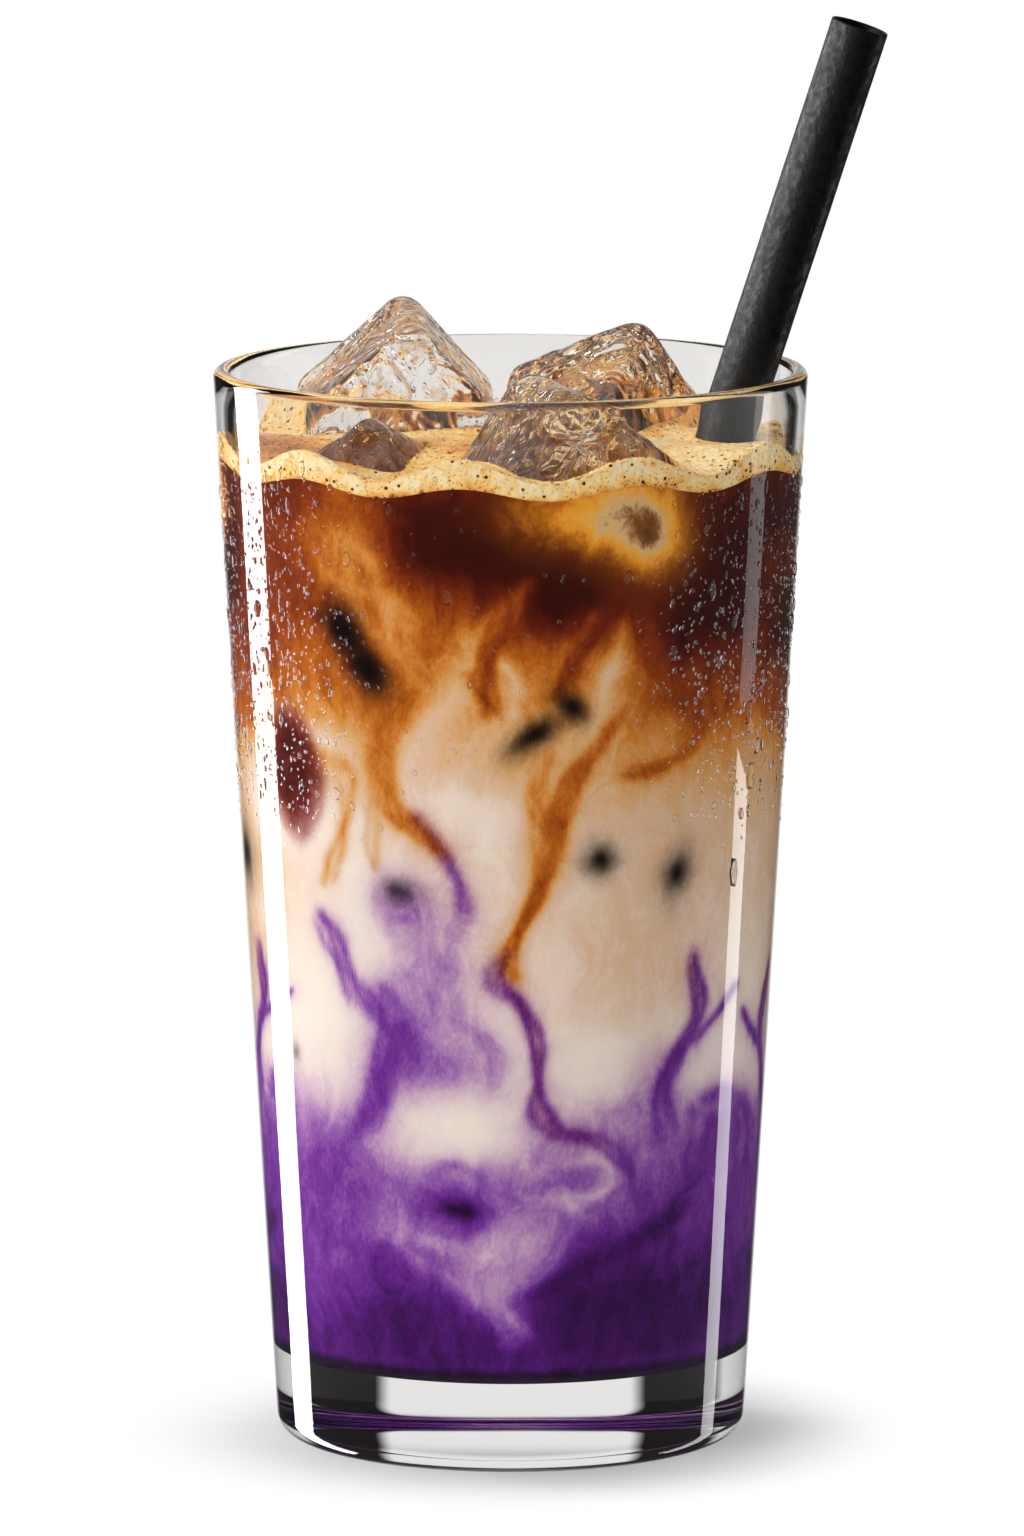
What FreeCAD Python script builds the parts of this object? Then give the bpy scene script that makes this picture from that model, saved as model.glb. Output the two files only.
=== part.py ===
"""Iced ube latte: a tapered cooler glass with layered drink, crema, ice and a leaning straw.

Sizes are in millimetres. The origin is the centre of the glass's foot, on the table plane.
+Z points up, the front of the drink faces -Y and the straw leans towards +X.

Every drink layer is the inside of the glass between two folded sheets, cut round the ice and
the straw. The ice settles before it is cut in: each cube moves off its neighbours, the straw
and the wall until it is clear of them.
"""
import FreeCAD, Part

import math
import os
from dataclasses import dataclass
from itertools import product

from FreeCAD import Placement, Rotation, Vector

# Glass
GLASS_HEIGHT = 149.0
RIM_RADIUS = 41.0          # outer wall at the rim
FOOT_RADIUS = 32.6         # outer wall carried down to the table
WALL = 2.4                 # also the full round of the rim
FLOOR = 12.6               # heavy base, table to drink
FLOOR_ROUND = 4.5          # inner corner between floor and wall
FOOT_ROUND = 3.2           # outer corner of the foot
REST_RING_WIDTH = 3.0      # flat ring that the glass rests on
PUNT_DEPTH = 1.6           # hollow under the foot

# Drink, from the floor up
UBE_DEPTH = 33.0
MILK_DEPTH = 55.0
CREMA_DEPTH = 3.4
HEADROOM = 9.4             # rim down to the top of the crema
CREMA_SWELL = 1.6          # rise and fall of the crema along the wall
CREMA_SWELLS = 10          # swells in one turn
SWELL_AZIMUTH = -100.0     # degrees, where one swell stands
SWELL_POWER = 4            # how closely the swells keep to the wall
SWELL_END = 1.1            # share of the inner radius past which they grow no more
SHEET_STEPS = 20           # spans of a folded sheet, side to side

# Straw
STRAW_DIAMETER = 8.0
STRAW_WALL = 0.4
STRAW_LENGTH = 192.0
STRAW_FOOT = Vector(-10.9, 3.0, 0.0)   # where its foot stands on the floor
STRAW_RIM_AZIMUTH = -3.7               # degrees from +X, where it passes the rim
STRAW_RIM_GAP = 2.1                    # between the straw and the rim's inner edge
SEAT_GAP = 0.1                         # straw's foot above the floor
LEAN_STEPS = 8                         # rounds in which the lean and the gap agree

# Ice
ICE_EDGE = 24.0
ICE_ROUND = 3.4            # melted edges
ICE_TAPER = 0.06           # mould draft, as a share of the edge
ICE_GAP = 0.4              # least gap to the wall, the straw and other ice
SETTLE_STEPS = 400
SETTLE_SAMPLES = 6         # sample points along a cube's edge


@dataclass(frozen=True)
class Fold:
    """A tongue of one layer that reaches into the next: place, height and half width."""

    x: float
    y: float
    rise: float
    spread: float


@dataclass
class IceCube:
    """A melted cube: its place from the crema's level, edge shares and turn in degrees."""

    name: str
    centre: Vector
    shares: Vector
    yaw: float
    pitch: float
    roll: float

    def half(self):
        """Half sizes of the cube along its own axes."""
        return self.shares * (ICE_EDGE / 2)

    def rotation(self):
        """Turn about Z, then X, then Y of the cube itself."""
        about_z = Rotation(Vector(0, 0, 1), self.yaw)
        about_x = Rotation(Vector(1, 0, 0), self.pitch)
        about_y = Rotation(Vector(0, 1, 0), self.roll)
        return about_z * about_x * about_y


# Tongues of coffee that sink into the milk, and of milk that rise into the coffee
COFFEE_FOLDS = (
    Fold(-14.0, -28.0, -14.0, 6.0),
    Fold(5.0, -31.0, -19.0, 5.5),
    Fold(-21.0, -23.0, -12.0, 5.0),
    Fold(18.0, -26.0, -8.0, 8.0),
    Fold(-2.0, -31.0, 15.0, 6.5),
    Fold(-18.0, -30.0, 12.0, 5.0),
    Fold(29.0, 6.0, -10.0, 7.0),
    Fold(18.0, 27.0, 11.0, 7.0),
    Fold(-4.0, 32.0, -16.0, 6.0),
    Fold(-26.0, 18.0, 9.0, 8.0),
    Fold(-32.0, -4.0, -9.0, 6.0),
    Fold(0.0, 4.0, -6.0, 12.0),
)

# Plumes of ube that rise into the milk, and wedges of milk that sink into the ube
UBE_FOLDS = (
    Fold(-17.0, -27.0, 22.0, 5.5),
    Fold(4.0, -31.0, 11.0, 5.0),
    Fold(21.0, -23.0, 20.0, 5.5),
    Fold(27.0, -15.0, 9.0, 7.0),
    Fold(-5.0, -30.0, -19.0, 8.0),
    Fold(-27.0, -14.0, 5.0, 7.0),
    Fold(28.0, 10.0, -9.0, 7.0),
    Fold(10.0, 29.0, 17.0, 6.0),
    Fold(-13.0, 28.0, -11.0, 8.0),
    Fold(-29.0, 10.0, 14.0, 6.0),
    Fold(2.0, 3.0, 7.0, 12.0),
)
LEAST_LAYER = 2.0          # a fold stays this far from the next sheet

ICE = (
    IceCube("ice_rear_left", Vector(-15.9, 13.6, 2.3), Vector(0.85, 1.02, 0.92), 4.0, 8.0, 49.7),
    IceCube("ice_rear_right", Vector(12.8, 14.4, -4.2), Vector(1.01, 0.99, 1.05), 63.9, -22.3, 57.8),
    IceCube("ice_front_right", Vector(8.6, -21.4, -5.4), Vector(0.99, 0.94, 1.07), -71.1, 53.4, 3.5),
    IceCube("ice_front_left", Vector(-18.2, -11.7, -12.7), Vector(0.87, 0.94, 0.98), 70.3, -35.7, 23.7),
)


# Places that the pieces share

def outer_radius(z):
    """Radius of the glass's outer wall line at height z."""
    return FOOT_RADIUS + (RIM_RADIUS - FOOT_RADIUS) * z / GLASS_HEIGHT


def inner_radius(z):
    """Radius of the glass's inner wall line at height z."""
    return outer_radius(z) - WALL


def crema_level():
    """Mean height of the crema's top."""
    return GLASS_HEIGHT - HEADROOM


def straw_line():
    """Centre of the straw's foot end and its unit direction, from the foot and the rim gap."""
    radius = STRAW_DIAMETER / 2
    azimuth = math.radians(STRAW_RIM_AZIMUTH)
    rim = Vector(math.cos(azimuth), math.sin(azimuth), 0)
    rim_height = GLASS_HEIGHT - WALL / 2
    foot = STRAW_FOOT + Vector(0, 0, FLOOR)
    direction = Vector(0, 0, 1)
    for _ in range(LEAN_STEPS):
        tilt = direction.getAngle(Vector(0, 0, 1))
        foot.z = FLOOR + SEAT_GAP + radius * math.sin(tilt)
        reach = inner_radius(rim_height) - STRAW_RIM_GAP - radius / math.cos(tilt)
        crossing = rim * reach + Vector(0, 0, rim_height)
        direction = (crossing - foot).normalize()
    return foot, direction


# Glass

def rounded_profile(corners):
    """Edges of a closed outline in the XZ plane from (radius, height, round) corners."""
    count = len(corners)
    points = [Vector(r, 0, z) for r, z, _ in corners]
    starts, ends, edges = [], [], []
    for i, (_, _, corner_round) in enumerate(corners):
        here = points[i]
        back = (points[i - 1] - here).normalize()
        ahead = (points[(i + 1) % count] - here).normalize()
        half_angle = back.getAngle(ahead) / 2
        set_back = corner_round / math.tan(half_angle)
        starts.append(here + back * set_back)
        ends.append(here + ahead * set_back)
        if corner_round:
            bisector = (back + ahead).normalize()
            nearest = corner_round / math.sin(half_angle) - corner_round
            middle = here + bisector * nearest
            edges.append(Part.Arc(starts[i], middle, ends[i]).toShape())
    for i in range(count):
        nxt = (i + 1) % count
        edges.append(Part.LineSegment(ends[i], starts[nxt]).toShape())
    return Part.Wire(Part.__sortEdges__(edges))


def turned(profile):
    """Solid of revolution of a closed outline about Z."""
    return Part.Face(profile).revolve(Vector(0, 0, 0), Vector(0, 0, 1), 360)


def cavity(top):
    """The glass's inside from the floor up to a height, as a solid."""
    corners = [
        (0, FLOOR, 0),
        (inner_radius(FLOOR), FLOOR, FLOOR_ROUND),
        (inner_radius(top), top, 0),
        (0, top, 0),
    ]
    return turned(rounded_profile(corners))


def make_glass():
    """Tapered glass with a heavy floor, a hollow foot and a fully rounded rim."""
    bead = WALL / 2
    rim_height = GLASS_HEIGHT - bead
    body = turned(rounded_profile([
        (0, 0, 0),
        (FOOT_RADIUS, 0, FOOT_ROUND),
        (outer_radius(rim_height), rim_height, 0),
        (0, rim_height, 0),
    ]))
    glass = body.cut(cavity(rim_height))
    rim = Part.makeTorus(inner_radius(rim_height) + bead, bead, Vector(0, 0, rim_height))
    ring_inner = FOOT_RADIUS - FOOT_ROUND - REST_RING_WIDTH
    punt_radius = (ring_inner ** 2 + PUNT_DEPTH ** 2) / (2 * PUNT_DEPTH)
    punt = Part.makeSphere(punt_radius, Vector(0, 0, PUNT_DEPTH - punt_radius))
    return glass.fuse(rim).cut(punt)


# Ice

def ice_solid(cube):
    """Tapered cube with melted edges, in its place."""
    half = cube.half()
    ends = []
    for side, share in ((-1, 1 - ICE_TAPER), (1, 1.0)):
        x, y, z = half.x * share, half.y * share, half.z * side
        ends.append(Part.makePolygon([
            Vector(-x, -y, z), Vector(x, -y, z), Vector(x, y, z), Vector(-x, y, z), Vector(-x, -y, z),
        ]))
    block = Part.makeLoft(ends, True, True)
    melted = block.makeFillet(ICE_ROUND, block.Edges)
    melted.Placement = Placement(cube.centre, cube.rotation())
    return melted


def core_points(cube):
    """Points over the faces of the box that the melted edges roll round."""
    half = cube.half() - Vector(ICE_ROUND, ICE_ROUND, ICE_ROUND)
    shares = [2 * i / (SETTLE_SAMPLES - 1) - 1 for i in range(SETTLE_SAMPLES)]
    on_faces = [p for p in product(shares, repeat=3) if max(map(abs, p)) == 1]
    return [Vector(a * half.x, b * half.y, c * half.z) for a, b, c in on_faces]


def push_off_cube(point, other):
    """Depth of a rounded point in another cube and the way out of it."""
    local = other.rotation().inverted().multVec(point - other.centre)
    half = other.half()
    signed = [(local.x, half.x), (local.y, half.y), (local.z, half.z)]
    beyond = [abs(v) - (h - ICE_ROUND) for v, h in signed]
    if max(beyond) > 0:
        parts = [math.copysign(max(b, 0), v) for b, (v, _) in zip(beyond, signed)]
        away = Vector(*parts)
        distance = away.Length
    else:
        deepest = beyond.index(max(beyond))
        parts = [math.copysign(1, v) if i == deepest else 0 for i, (v, _) in enumerate(signed)]
        away = Vector(*parts)
        distance = max(beyond)
    depth = 2 * ICE_ROUND + ICE_GAP - distance
    return depth, other.rotation().multVec(away.normalize())


def push_off_wall(point):
    """Depth of a rounded point in the glass's wall and the way out of it."""
    radius = math.hypot(point.x, point.y)
    depth = radius + ICE_ROUND + ICE_GAP - inner_radius(point.z)
    return depth, Vector(-point.x, -point.y, 0) / max(radius, ICE_ROUND)


def push_off_straw(point, foot, direction):
    """Depth of a rounded point in the straw and the way out of it."""
    along = (point - foot).dot(direction)
    away = point - foot - direction * along
    depth = STRAW_DIAMETER / 2 + ICE_ROUND + ICE_GAP - away.Length
    return depth, away.normalize()


def settled_ice():
    """The ice cubes, each moved off its neighbours, the straw and the wall until clear."""
    foot, direction = straw_line()
    cubes = [IceCube(c.name, c.centre + Vector(0, 0, crema_level()), c.shares, c.yaw, c.pitch, c.roll)
             for c in ICE]
    cores = [core_points(cube) for cube in cubes]
    for _ in range(SETTLE_STEPS):
        moved = 0.0
        for cube, core in zip(cubes, cores):
            turn = cube.rotation()
            points = [cube.centre + turn.multVec(p) for p in core]
            pushes = [push_off_wall(p) for p in points]
            pushes += [push_off_straw(p, foot, direction) for p in points]
            for other in cubes:
                if other is not cube:
                    pushes += [push_off_cube(p, other) for p in points]
            depth, away = max(pushes, key=lambda push: push[0])
            if depth > 0:
                cube.centre = cube.centre + away * depth
                moved = max(moved, depth)
        if moved == 0.0:
            break
    return cubes


# Straw

def make_straw():
    """Straight tube, standing on the floor and leaning over the rim."""
    foot, direction = straw_line()
    outside = Part.makeCylinder(STRAW_DIAMETER / 2, STRAW_LENGTH, foot, direction)
    bore = Part.makeCylinder(STRAW_DIAMETER / 2 - STRAW_WALL, STRAW_LENGTH, foot, direction)
    return outside.cut(bore)


def straw_core():
    """The straw's outside as one solid, for cutting the drink round it."""
    foot, direction = straw_line()
    return Part.makeCylinder(STRAW_DIAMETER / 2, STRAW_LENGTH, foot, direction)


# Drink

def crema_top(x, y):
    """Height of the crema: level in the middle, with swells that grow towards the wall."""
    turn = math.atan2(y, x) - math.radians(SWELL_AZIMUTH)
    share = min(math.hypot(x, y) / inner_radius(crema_level()), SWELL_END)
    return crema_level() + CREMA_SWELL * math.cos(CREMA_SWELLS * turn) * share ** SWELL_POWER


def crema_bottom(x, y):
    """Height where the crema meets the coffee: half the swell of its top."""
    return (crema_top(x, y) + crema_level()) / 2 - CREMA_DEPTH


def folded(level, folds, above):
    """Height function of a sheet with folds that keeps clear of the floor and the sheet above."""
    def height(x, y):
        z = level
        for fold in folds:
            away = math.hypot(x - fold.x, y - fold.y) / fold.spread
            z += fold.rise * math.exp(-away * away)
        return max(FLOOR + LEAST_LAYER, min(z, above(x, y) - LEAST_LAYER))
    return height


def under(height):
    """Solid of all that lies under a sheet, wide enough for the whole glass."""
    span = [RIM_RADIUS * (2 * i / SHEET_STEPS - 1) for i in range(SHEET_STEPS + 1)]
    sheet = Part.BSplineSurface()
    sheet.interpolate([[Vector(x, y, height(x, y)) for y in span] for x in span])
    return sheet.toShape().extrude(Vector(0, 0, -2 * GLASS_HEIGHT))


def make_drink(obstacles):
    """The four layers of the drink by name, bottom up, cut round the ice and the straw."""
    milk_top = folded(FLOOR + UBE_DEPTH + MILK_DEPTH, COFFEE_FOLDS, crema_bottom)
    ube_top = folded(FLOOR + UBE_DEPTH, UBE_FOLDS, milk_top)
    inside = cavity(GLASS_HEIGHT - WALL)
    layers = {}
    below = None
    for name, top in (("ube_layer", ube_top), ("milk_layer", milk_top),
                      ("coffee_layer", crema_bottom), ("crema", crema_top)):
        stack = under(top)
        layer = inside.common(stack)
        if below:
            layer = layer.cut(below)
        layers[name] = layer.cut(obstacles)
        below = stack
    return layers


def make_pieces():
    """Every piece of the part by node name."""
    pieces = {"glass": make_glass(), "straw": make_straw()}
    ice = {cube.name: ice_solid(cube) for cube in settled_ice()}
    pieces.update(make_drink([straw_core(), *ice.values()]))
    pieces.update(ice)
    return pieces


def main():
    """Build every piece and write each to its own file."""
    os.makedirs("parts", exist_ok=True)
    for name, shape in make_pieces().items():
        solids = shape.Solids
        if len(solids) != 1 or not solids[0].isValid():
            raise ValueError(f"{name}: expected one valid solid, got {len(solids)}")
        solids[0].exportStep(f"parts/{name}.step")
        print(f"{name}: {solids[0].Volume / 1000:.2f} cm3")


main()
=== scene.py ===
"""Iced ube latte in a tapered cooler glass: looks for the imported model.

The drink's three layers, the crema, the ice, the straw, the glass and the dew on it are
surfaces worked out from named sizes. Lengths are in millimetres inside the classes and are
turned to metres where a mesh is made. Azimuths are in degrees from the front (-Y) towards +X.
"""
from __future__ import annotations

import logging
from collections.abc import Callable
from dataclasses import dataclass, field
from enum import Enum

import bpy
import numpy as np
from mathutils import Euler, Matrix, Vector

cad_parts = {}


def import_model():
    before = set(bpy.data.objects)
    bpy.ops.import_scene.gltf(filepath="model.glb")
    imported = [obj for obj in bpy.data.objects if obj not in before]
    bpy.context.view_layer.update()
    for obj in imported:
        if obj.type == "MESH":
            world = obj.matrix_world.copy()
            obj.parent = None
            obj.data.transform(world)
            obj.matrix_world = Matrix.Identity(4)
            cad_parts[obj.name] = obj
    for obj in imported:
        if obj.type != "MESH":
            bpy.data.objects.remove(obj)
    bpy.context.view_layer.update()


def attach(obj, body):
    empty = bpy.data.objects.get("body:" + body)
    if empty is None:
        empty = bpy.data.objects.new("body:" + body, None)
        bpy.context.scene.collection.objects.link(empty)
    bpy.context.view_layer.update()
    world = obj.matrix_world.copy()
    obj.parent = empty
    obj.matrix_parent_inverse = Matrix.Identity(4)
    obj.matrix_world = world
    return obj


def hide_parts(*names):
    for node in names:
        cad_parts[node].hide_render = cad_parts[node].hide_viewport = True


MM = 0.001
BODY = "root"
LOG = logging.getLogger("ube_latte")

Point = tuple[float, float] | np.ndarray
Hump = tuple[float, float, float, float]


class Slot(Enum):
    """Material slots of the record."""

    GLASS = "clear_glass"
    UBE = "ube_milk"
    MILK = "milk"
    COFFEE = "coffee"
    CREMA = "crema"
    ICE = "ice"
    STRAW = "black_straw"


# Shared helpers


def linear(hex_colour: str) -> tuple[float, float, float, float]:
    """Turn an sRGB hex colour into linear RGBA.

    Args:
        hex_colour: Colour such as "#aabbcc".

    Returns:
        Linear red, green, blue and an alpha of 1.
    """
    srgb = np.array([int(hex_colour[i:i + 2], 16) / 255 for i in (1, 3, 5)])
    rgb = np.where(srgb <= 0.04045, srgb / 12.92, ((srgb + 0.055) / 1.055) ** 2.4)
    return (*rgb.tolist(), 1.0)


def add_node(tree: bpy.types.NodeTree, kind: str, settings: dict | None = None,
             inputs: dict | None = None) -> bpy.types.Node:
    """Add a node with its settings, input values and links.

    Args:
        tree: Node tree that gets the node.
        kind: Blender's node type name.
        settings: Node properties by name; "stops" is a list of (position, hex) ramp stops.
        inputs: Input values or output sockets to link, by input name or index.

    Returns:
        The new node.
    """
    node = tree.nodes.new(kind)
    for name, value in (settings or {}).items():
        if name == "stops":
            elements = node.color_ramp.elements
            while len(elements) < len(value):
                elements.new(1.0)
            for element, (position, colour) in zip(elements, value):
                element.position = position
                element.color = linear(colour)
        else:
            setattr(node, name, value)
    for name, value in (inputs or {}).items():
        socket = node.inputs[name]
        if isinstance(value, bpy.types.NodeSocket):
            tree.links.new(value, socket)
        else:
            socket.default_value = value
    return node


def new_material(name: str) -> tuple[bpy.types.Material, bpy.types.NodeTree, bpy.types.Node]:
    """Make an empty node material.

    Args:
        name: Material name.

    Returns:
        The material, its node tree and its output node.
    """
    material = bpy.data.materials.new(name)
    material.use_nodes = True
    tree = material.node_tree
    tree.nodes.clear()
    output = add_node(tree, "ShaderNodeOutputMaterial")
    return material, tree, output


def grid_quads(rows: int, columns: int, wrap: bool = True) -> np.ndarray:
    """Quads of a grid of vertices that is stored row by row.

    Args:
        rows: Number of vertex rows.
        columns: Number of vertices in a row.
        wrap: Whether the last column joins the first.

    Returns:
        Vertex indices, four a face, turning from one row to the next.
    """
    r = np.arange(rows - 1)[:, None]
    c = np.arange(columns if wrap else columns - 1)[None, :]
    nxt = (c + 1) % columns
    quads = np.stack([r * columns + c, r * columns + nxt, (r + 1) * columns + nxt,
                      (r + 1) * columns + c], axis=-1)
    return quads.reshape(-1, 4)


def mesh_piece(name: str, vertices: np.ndarray, faces: list[np.ndarray],
               material: bpy.types.Material, colours: dict[str, np.ndarray] | None = None,
               vectors: dict[str, np.ndarray] | None = None) -> bpy.types.Object:
    """Make a smooth mesh object from arrays, in millimetres, and put it on the body.

    Args:
        name: Piece name.
        vertices: Vertex places in millimetres, one a row.
        faces: Arrays of triangles and of quads.
        material: Finish of the piece.
        colours: Four values a vertex, by attribute name.
        vectors: Three values a vertex, by attribute name.

    Returns:
        The new object.
    """
    mesh = bpy.data.meshes.new(name)
    loops = np.concatenate([f.ravel() for f in faces]).astype(np.int32)
    sizes = np.concatenate([np.full(len(f), f.shape[1]) for f in faces]).astype(np.int32)
    mesh.vertices.add(len(vertices))
    mesh.vertices.foreach_set("co", (vertices * MM).astype(np.float32).ravel())
    mesh.loops.add(len(loops))
    mesh.loops.foreach_set("vertex_index", loops)
    mesh.polygons.add(len(sizes))
    starts = np.concatenate([[0], np.cumsum(sizes)[:-1]]).astype(np.int32)
    mesh.polygons.foreach_set("loop_start", starts)
    mesh.update(calc_edges=True)
    mesh.validate()
    mesh.polygons.foreach_set("use_smooth", np.ones(len(mesh.polygons), dtype=bool))
    for key, values in (colours or {}).items():
        layer = mesh.attributes.new(key, "FLOAT_COLOR", "POINT")
        layer.data.foreach_set("color", values.astype(np.float32).ravel())
    for key, values in (vectors or {}).items():
        layer = mesh.attributes.new(key, "FLOAT_VECTOR", "POINT")
        layer.data.foreach_set("vector", values.astype(np.float32).ravel())
    mesh.materials.append(material)
    piece = bpy.data.objects.new(name, mesh)
    bpy.context.scene.collection.objects.link(piece)
    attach(piece, BODY)
    return piece


def grey(values: np.ndarray) -> np.ndarray:
    """One value a vertex as the four of an opaque grey."""
    return np.stack([values, values, values, np.ones_like(values)], axis=1)


def full_turn(columns: int) -> np.ndarray:
    """Azimuths in degrees of evenly spaced columns round the axis."""
    return np.arange(columns) * 360 / columns


def half_turn(angle: np.ndarray) -> np.ndarray:
    """Angles in degrees, brought to between -180 and 180."""
    return (angle + 180) % 360 - 180


def azimuth_of(points: np.ndarray) -> np.ndarray:
    """Degrees from the front of points, one a row of the last axis: the angle of x over -y."""
    return np.degrees(np.arctan2(points[..., 0], -points[..., 1]))


def on_plan(azimuth: np.ndarray, radius: np.ndarray) -> tuple[np.ndarray, np.ndarray]:
    """X and Y at an azimuth and a radius: r sin(a) and -r cos(a)."""
    angle = np.radians(azimuth)
    return radius * np.sin(angle), -radius * np.cos(angle)


def on_wall(azimuth: np.ndarray, radius: np.ndarray, height: np.ndarray) -> np.ndarray:
    """Points at an azimuth from the front, a radius and a height.

    Args:
        azimuth: Degrees from -Y towards +X.
        radius: Distance from the glass's axis.
        height: Height above the table.

    Returns:
        Points, one a row of the last axis.
    """
    return np.stack(np.broadcast_arrays(*on_plan(azimuth, radius), height), axis=-1)


def humps(x: np.ndarray, y: np.ndarray, each: tuple[Hump, ...]) -> np.ndarray:
    """Sum of round humps: each rise times e to the minus squared distance over its spread.

    Args:
        x: Places across.
        y: Places to the rear.
        each: The middle's x and y, the rise and the spread of each hump.

    Returns:
        The sum at each place.
    """
    total = np.zeros(np.shape(x))
    for middle_x, middle_y, rise, spread in each:
        total += rise * np.exp(-((x - middle_x) ** 2 + (y - middle_y) ** 2) / spread ** 2)
    return total


@dataclass
class ValueNoise:
    """Smooth noise on a random lattice that repeats every `cells` cells."""

    seed: int
    cells: int = 32
    lattice: np.ndarray = field(init=False)

    def __post_init__(self) -> None:
        """Fill the lattice with values from 0 to 1."""
        self.lattice = np.random.default_rng(self.seed).random((self.cells,) * 3)

    def at(self, points: np.ndarray, size: float) -> np.ndarray:
        """Noise at points: lattice values blended by the smooth step 3t^2 - 2t^3.

        Args:
            points: Places, three values a row.
            size: Width of a lattice cell.

        Returns:
            Values from -1 to 1.
        """
        scaled = points / size
        low = np.floor(scaled).astype(int)
        t = scaled - low
        t = t * t * (3 - 2 * t)
        low %= self.cells
        high = (low + 1) % self.cells
        value = 0.0
        for corner in np.ndindex(2, 2, 2):
            index = [np.where(side, high[..., k], low[..., k]) for k, side in enumerate(corner)]
            weight = 1.0
            for k, side in enumerate(corner):
                weight = weight * (t[..., k] if side else 1 - t[..., k])
            value = value + weight * self.lattice[index[0], index[1], index[2]]
        return 2 * value - 1

    def fractal(self, points: np.ndarray, size: float, octaves: int) -> np.ndarray:
        """Sum of noise whose cells halve and whose strength halves with each octave."""
        return sum(self.at(points + 7.3 * k, size / 2 ** k) / 2 ** k for k in range(octaves))

    def vectors(self, points: np.ndarray, size: float, octaves: int) -> np.ndarray:
        """Three independent fractal noises as one vector a point."""
        shifts = (0.0, 41.7 * size, 83.1 * size)
        return np.stack([self.fractal(points + s, size, octaves) for s in shifts], axis=-1)


def smooth_step(value: np.ndarray, low: float, high: float) -> np.ndarray:
    """Rise from 0 at low to 1 at high along 3t^2 - 2t^3."""
    t = np.clip((value - low) / (high - low), 0, 1)
    return t * t * (3 - 2 * t)


def bell(value: np.ndarray, centre: float, width: float) -> np.ndarray:
    """Bell curve of height 1: e to the minus squared distance over the width."""
    return np.exp(-((value - centre) / width) ** 2)


# Finishes


@dataclass(frozen=True)
class ClearGlass:
    """Soda-lime glass, pressed and fire polished: clear, with bright edges and a hard gloss."""

    ior: float = 1.5
    tint: str = "#fdfcfa"

    def build(self) -> bpy.types.Material:
        """Make the glass; lamps shine straight through it.

        Returns:
            The material.
        """
        material, tree, output = new_material("soda_lime_glass_polished")
        place = add_node(tree, "ShaderNodeTexCoord")
        # Slow swells of a pressed wall, about 30 mm apart.
        swell = add_node(tree, "ShaderNodeTexNoise", inputs={"Vector": place.outputs["Object"],
                                                             "Scale": 30.0, "Detail": 1.0})
        bump = add_node(tree, "ShaderNodeBump", inputs={"Height": swell.outputs[0],
                                                        "Strength": 0.12, "Distance": 0.0015})
        body = add_node(tree, "ShaderNodeBsdfPrincipled",
                        inputs={"Base Color": linear(self.tint), "Roughness": 0.0, "IOR": self.ior,
                                "Transmission Weight": 1.0, "Normal": bump.outputs[0]})
        add_clear_shadow(tree, body, output)
        return material


def add_clear_shadow(tree: bpy.types.NodeTree, body: bpy.types.Node, output: bpy.types.Node) -> None:
    """Let shadow and diffuse rays pass a clear body and send the result to the output.

    Args:
        tree: Node tree of the material.
        body: Shader of the clear body.
        output: Output node.
    """
    rays = add_node(tree, "ShaderNodeLightPath")
    either = add_node(tree, "ShaderNodeMath", {"operation": "MAXIMUM"},
                      {0: rays.outputs["Is Shadow Ray"], 1: rays.outputs["Is Diffuse Ray"]})
    clear = add_node(tree, "ShaderNodeBsdfTransparent")
    mix = add_node(tree, "ShaderNodeMixShader", inputs={0: either.outputs[0], 1: body.outputs[0],
                                                        2: clear.outputs[0]})
    tree.links.new(mix.outputs[0], output.inputs["Surface"])


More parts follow.
